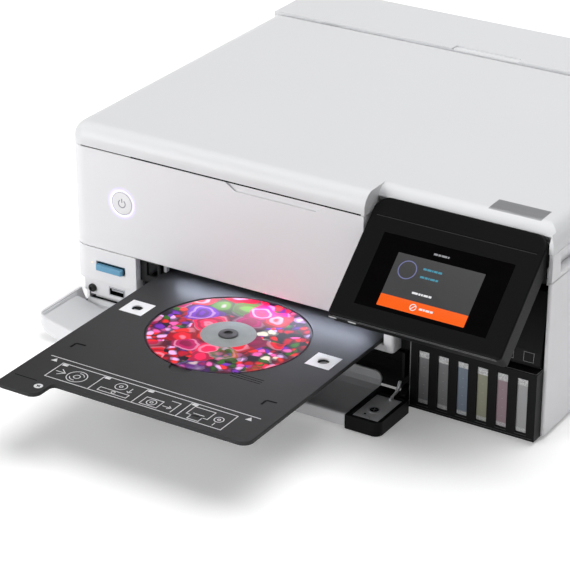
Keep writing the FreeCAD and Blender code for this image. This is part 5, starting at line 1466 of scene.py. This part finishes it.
@dataclass
class TankMarks:
    """Level ticks on the tank windows, painted highlights on the housing's edges and boxes on the
    flap.
    """

    first: float = 109.2
    pitch: float = 15.76
    face: float = 1.8
    ledge: float = 56.5
    ends: tuple[float, float] = (98.2, 198.2)
    flap_foot: tuple[float, float] = (9.0, 58.0)
    flap_lean: float = 8.0
    flap_rise: float = 57.0
    levels: tuple = (16.5, 23.5, 30.5, 37.5)
    lip_level: float = 6.6
    lip_half: float = 4.6
    box_half: float = 3.9
    box_rows: tuple[float, float] = (3.1, 10.1)
    band: tuple[float, float] = (148.4, 6.6)
    band_size: tuple[float, float] = (97.6, 10.4)

    def build(self) -> None:
        """Short ticks up each window, one upper line, and thin painted highlights along the
        housing's edges.
        """
        tanks = [self.first + self.pitch * n for n in range(6)]
        ticks = [[(x - 0.5, z), (x + 0.7, z)] for x in tanks for z in self.levels]
        lips = [[(x - self.lip_half, self.lip_level), (x + self.lip_half, self.lip_level)]
                for x in tanks]
        front = facing_front(0, self.face, 0)
        left, right = self.ends
        lip = self.face + 0.75
        ledge = [(left, lip), (right - 0.6, lip), (right, self.face + 1.6), (right, 12.0)]
        side = [(left + 0.2, 4.0), (left + 0.2, self.ledge)]
        # painted highlights: pale lines along the ledge, the left side and the foot of the housing
        for name, stand, lines, width, ink in (
                ("tank_levels", facing_front(0, 2.8, 0), ticks, 0.35, Ink.PRINT_GREY),
                ("tank_lips", front, lips, 0.3, Ink.EDGE_DARK),
                ("ledge_highlight", Stand((0, 0, self.ledge)), [ledge], 0.4, Ink.EDGE_GREY),
                ("tank_side_highlight", front, [side], 0.5, Ink.EDGE_GREY),
                ("tank_foot_highlight", front, [[(left + 1, 4.6), (right - 1, 4.6)]], 0.3,
                 Ink.EDGE_DARK)):
            strokes(name, stand, lines, width, 0.05, ink, "housing")
        slope = math.atan2(self.flap_lean, self.flap_rise)
        across, up = (1, 0, 0), (0, math.sin(slope), math.cos(slope))
        out = (0, -math.cos(slope), math.sin(slope))
        foot = self.flap_foot

        def on_flap(x: float, climb: float, lift: float) -> Stand:
            """A stand on the flap's face, a climb above its foot."""
            return Stand((x, foot[0] + climb * up[1] + lift * out[1],
                          foot[1] + climb * up[2] + lift * out[2]), across, up, out)

        slab("flap_band", on_flap(*self.band, 0.0), *self.band_size, 0.1, 0.6, 0.06, Ink.BAND,
             "tank_cover")
        low, high = self.box_rows
        boxes = [frame_line(x - self.box_half, low, x + self.box_half, high) for x in tanks]
        strokes("flap_boxes", on_flap(0, 0.0, 0.1), boxes, 0.35, 0.05, Ink.PRINT_GREY,
                "tank_cover")


@dataclass
class Screen:
    """What the lit display shows, and the trim of the panel's face and lower edge, with painted
    highlights on that edge.
    """

    glass: float = 8.95
    columns: tuple[float, float] = (-35.0, 33.5)
    field: tuple[float, float] = (-68.3, -26.7)
    bar_top: float = -59.2
    foot: float = -84.0
    lamps: tuple[float, float] = (-65.7, -49.9)

    def stand(self, u: float, v: float, w: float) -> Stand:
        """A stand on the panel at (u, v) with height w over its middle plane.

        Args:
            u: across.
            v: up.
            w: out.

        Returns:
            The stand.
        """
        a, b, c = (np.array(d) for d in (PANEL.across, PANEL.up, PANEL.out))
        origin = np.array(PANEL.origin) + u * a + v * b + w * c
        return Stand(tuple(origin), PANEL.across, PANEL.up, PANEL.out)

    def plate(self, name: str, u: tuple[float, float], v: tuple[float, float], radius: float,
              ink: Ink, lift: float = 0.0) -> None:
        """A thin lit plate between two places across and up."""
        stand = self.stand((u[0] + u[1]) / 2, (v[0] + v[1]) / 2, self.glass + lift)
        slab(name, stand, u[1] - u[0], v[1] - v[0], 0.04, radius, 0.02, ink, "control_panel")

    @staticmethod
    def dashes(start: float, level: float, widths: tuple[float, ...], space: float = 0.5) -> list:
        """A row of short bars that stands in for a line of words.

        Args:
            start: where the first bar begins.
            level: the row's height.
            widths: length of each bar.
            space: gap between bars.

        Returns:
            One line per bar: bar k starts at start plus the bars and gaps before it.
        """
        lengths = np.array(widths)
        begins = start + np.concatenate([[0.0], np.cumsum(lengths + space)[:-1]])
        return [[(a, level), (a + n, level)] for a, n in zip(begins, lengths)]

    def build(self) -> None:
        """Field, title, round gauge, rows of words, the orange bar, then the panel's edges."""
        u0, u1 = self.columns
        self.plate("screen_field", (u0, u1), self.field, 0.5, Ink.UI_GREY)
        self.plate("screen_bar", (u0, u1), (self.field[0], self.bar_top), 0.4, Ink.UI_ORANGE, 0.05)
        flat = self.stand(0, 0, self.glass + 0.09)
        icon = [circle(-7.9, -63.6, 2.3), [(-9.5, -65.2), (-6.3, -62.0)]]
        ring = [circle(-23.3, -38.0, 6.8, steps=49)]
        rows = (self.dashes(-12.0, -34.4, (2.6, 3.2, 1.0, 2.8, 3.0))
                + self.dashes(-12.0, -40.6, (3.2, 2.2, 1.0, 3.6, 2.0)))
        for name, lines, width, ink in (
                ("icon", icon, 0.6, Ink.UI_WHITE),
                ("bar_words", self.dashes(-3.0, -63.7, (2.6, 1.4, 3.0, 2.2)), 1.5, Ink.UI_WHITE),
                ("words", self.dashes(-13.0, -53.3, (4.6, 1.6, 1.4, 3.4, 2.2)), 1.5,
                 Ink.UI_WHITE),
                ("title", self.dashes(-9.0, -21.8, (3.0, 2.0, 4.4, 1.2)), 1.4, Ink.UI_LIGHT),
                ("ring", ring, 0.75, Ink.UI_RING),
                ("rows", rows, 1.5, Ink.UI_BLUE)):
            strokes(f"screen_{name}", flat, lines, width, 0.03, ink, "control_panel")
        self.trim()

    def trim(self) -> None:
        """A pale line along the groove, two painted highlights along the lower edge, and two lamp
        lenses there.
        """
        strokes("panel_groove_edge", self.stand(0, 0, 9.0), [[(-62.8, -3.42), (63.2, -3.42)]],
                0.25, 0.03, Ink.EDGE_DARK, "control_panel")
        place = self.stand(0, self.foot, 0)
        below = Stand(place.origin, PANEL.across, tuple(PANEL.out), tuple(-c for c in PANEL.up))
        # painted highlights: two pale lines for the light caught by the panel's lower edge
        strokes("panel_foot_highlights", below, [[(64.0, 7.3), (-64.0, 7.3)],
                                            [(64.0, 5.0), (-64.0, 5.0)]], 0.45, 0.05,
                Ink.EDGE_GREY, "control_panel")
        base = np.array(place.origin)
        for n, u in enumerate(self.lamps):
            spot = base + u * np.array(PANEL.across) + 2.9 * np.array(PANEL.out)
            slab(f"panel_lens_{n + 1}", Stand(tuple(spot), tuple(-c for c in below.across),
                                              below.up, below.out), 6.4, 2.0, 0.3, 0.95, 0.25,
                 Ink.LENS, "control_panel")


@dataclass
class BackTrim:
    """Pan-head screws on the back, with painted shade in their cross slots."""

    back: float = 372.0
    radius: float = 2.6
    height: float = 0.25
    screws: tuple = ((-185, 125), (-60, 20), (60, 20), (185, 20), (185, 125), (-120, 150),
                     (120, 150))

    def build(self) -> None:
        """Turn each head at its (x, z) and lay the cross of painted slot shade on it."""
        r, h = self.radius, self.height
        arm = r * 0.55
        profile = [(r, 0), (r, h * 0.35), (r * 0.86, h * 0.8), (r * 0.5, h), (0.05, h)]
        cross = [[(-arm, 0), (arm, 0)], [(0, -arm), (0, arm)]]
        for n, (x, z) in enumerate(self.screws):
            name = f"back_screw_{n + 1}"
            turned(name, facing_back(x, self.back, z), profile, Ink.SCREW, "housing", steps=28)
            # painted shade: the cross slot drawn as near-black strokes
            strokes(f"{name}_cross", facing_back(x, self.back + h, z), cross, r * 0.24, 0.03,
                    Ink.RECESS, "housing")


@dataclass
class Bed:
    """Size marks on the frame round the document glass."""

    top: float = 145.2
    glass: tuple[float, float, float, float] = (-155.0, 55.0, 155.0, 275.0)
    ticks: int = 30
    rows: int = 22
    start: float = 10.0
    gap: float = 1.5
    long_tick: float = 5.0
    short_tick: float = 3.2

    def build(self) -> None:
        """A ruler along two sides and an arrow at the corner where they meet."""
        x0, y0, x1, y1 = self.glass
        stand = Stand((0, 0, self.top))
        step = (x1 - x0 - self.start) / self.ticks
        ends = [self.short_tick if n % 5 else self.long_tick for n in range(self.ticks + 1)]
        places = [x0 + self.start + step * n for n in range(self.ticks + 1)]
        across = [[(x, y0 - self.gap), (x, y0 - end)] for x, end in zip(places, ends)]
        down = [[(x1 + self.gap, y0 + 10.0 * n), (x1 + ends[n], y0 + 10.0 * n)]
                for n in range(self.rows)]
        corner = [[(x1 + 8.0, y0 - 8.0), (x1 + 3.0, y0 - 3.0)],
                  [(x1 + 6.6, y0 - 3.0), (x1 + 3.0, y0 - 3.0), (x1 + 3.0, y0 - 6.6)]]
        strokes("bed_marks", stand, across + down + corner, 0.4, 0.05, Ink.PRINT_GREY,
                "scanner_unit")


@dataclass
class LidSeamShadow:
    """Painted shadow of the seam under the lid's front edge."""

    left: float = -189.0
    right: float = 56.0
    thin: float = 46.0
    level: float = 145.9
    height: float = 1.1

    def build(self) -> None:
        """A slim ribbon of painted seam shadow on the lid's face, thinner and less dark to the
        left.
        """
        stand = facing_front(0.0, 0.0, self.level)
        middle = (self.left + self.thin, 0.0)
        # painted shadow: the seam between lid and fascia drawn as near-black ribbons
        strokes("lid_seal", stand, [[middle, (self.right, 0.0)]], self.height, 0.06, Ink.RECESS,
                "document_lid")
        strokes("lid_seam_shadow_end", stand, [[(self.left, 0.0), middle]], self.height * 0.6, 0.05,
                Ink.PRINT_DARK, "document_lid")


# ---------------------------------------------------------------- studio


@dataclass
class Studio:
    """Pale floor, soft lamps and the camera."""

    azimuth: float = 31.6
    elevation: float = 25.85
    roll: float = -0.2
    eye: Triple = (0.82296, -1.43478, 0.842)
    lens: float = 151.32
    room: float = 0.15
    lights: tuple = (("top", (0.3, 0.6, 2.8), 2.8, 75.0), ("front", (-1.9, -2.7, 1.1), 1.8, 70.0))

    def build(self) -> None:
        """Set everything up."""
        self.floor()
        self.lamps()
        self.camera()

    def floor(self) -> None:
        """A sheet that lies flat and bends up far behind: height 0.6 t^3 past 4 m."""
        across = np.linspace(-7, 7, 15)
        along = np.linspace(-5, 9, 29)
        x, y = np.meshgrid(across, along, indexing="ij")
        bend = np.clip((y - 4.0) / 3.0, 0, None)
        points = np.stack([x, y, 0.6 * bend ** 3], -1)
        faces = grid_faces(len(across), len(along), False)
        mesh("floor", points, faces[:, ::-1].tolist(), Ink.FLOOR, None)

    def lamps(self) -> None:
        """Two soft lamps and an even world."""
        world = bpy.data.worlds.new("room")
        bpy.context.scene.world = world
        world.use_nodes = True
        back = world.node_tree.nodes["Background"]
        back.inputs["Color"].default_value = (1.0, 1.0, 1.0, 1.0)
        back.inputs["Strength"].default_value = self.room
        for name, where, size, power in self.lights:
            data = bpy.data.lights.new(name, "AREA")
            data.energy = power
            data.size = size
            lamp = bpy.data.objects.new(name, data)
            lamp.location = where
            aim = Vector((0, 0, 0.08)) - Vector(where)
            lamp.rotation_euler = aim.to_track_quat("-Z", "Y").to_euler()
            bpy.context.scene.collection.objects.link(lamp)

    def camera(self) -> None:
        """Place the camera by its angles; back = (sin a cos e, -cos a cos e, sin e)."""
        a, e, k = (math.radians(v) for v in (self.azimuth, self.elevation, self.roll))
        back = np.array([math.sin(a) * math.cos(e), -math.cos(a) * math.cos(e), math.sin(e)])
        right = np.cross(-back, [0, 0, 1.0])
        right /= np.linalg.norm(right)
        down = np.cross(-back, right)
        axis_x = right * math.cos(k) + down * math.sin(k)
        axis_down = -right * math.sin(k) + down * math.cos(k)
        data = bpy.data.cameras.new("camera")
        data.lens = self.lens
        data.sensor_width = 36.0
        data.clip_end = 60.0
        thing = bpy.data.objects.new("camera", data)
        pose = Matrix.Identity(4)
        for row in range(3):
            pose[row][0], pose[row][1] = axis_x[row], -axis_down[row]
            pose[row][2], pose[row][3] = back[row], self.eye[row]
        thing.matrix_world = pose
        bpy.context.scene.collection.objects.link(thing)
        bpy.context.scene.camera = thing


def main() -> None:
    """Dress the CAD parts, add the small pieces and set the studio up."""
    logging.basicConfig(level=logging.INFO)
    bpy.context.scene.view_settings.view_transform = "Standard"
    Wardrobe(frame["nodes"]).dress()
    for part in (PowerButton(), CardReader(), UsbPort(), DiscSlot(), TrayMarks(), CoverShell(),
                 FrontCover(), TankMarks(), Screen(), Bed(), LidSeamShadow(), BackTrim(), Studio()):
        part.build()
        LOG.info("built %s", type(part).__name__)


if __name__ == "__main__":
    main()
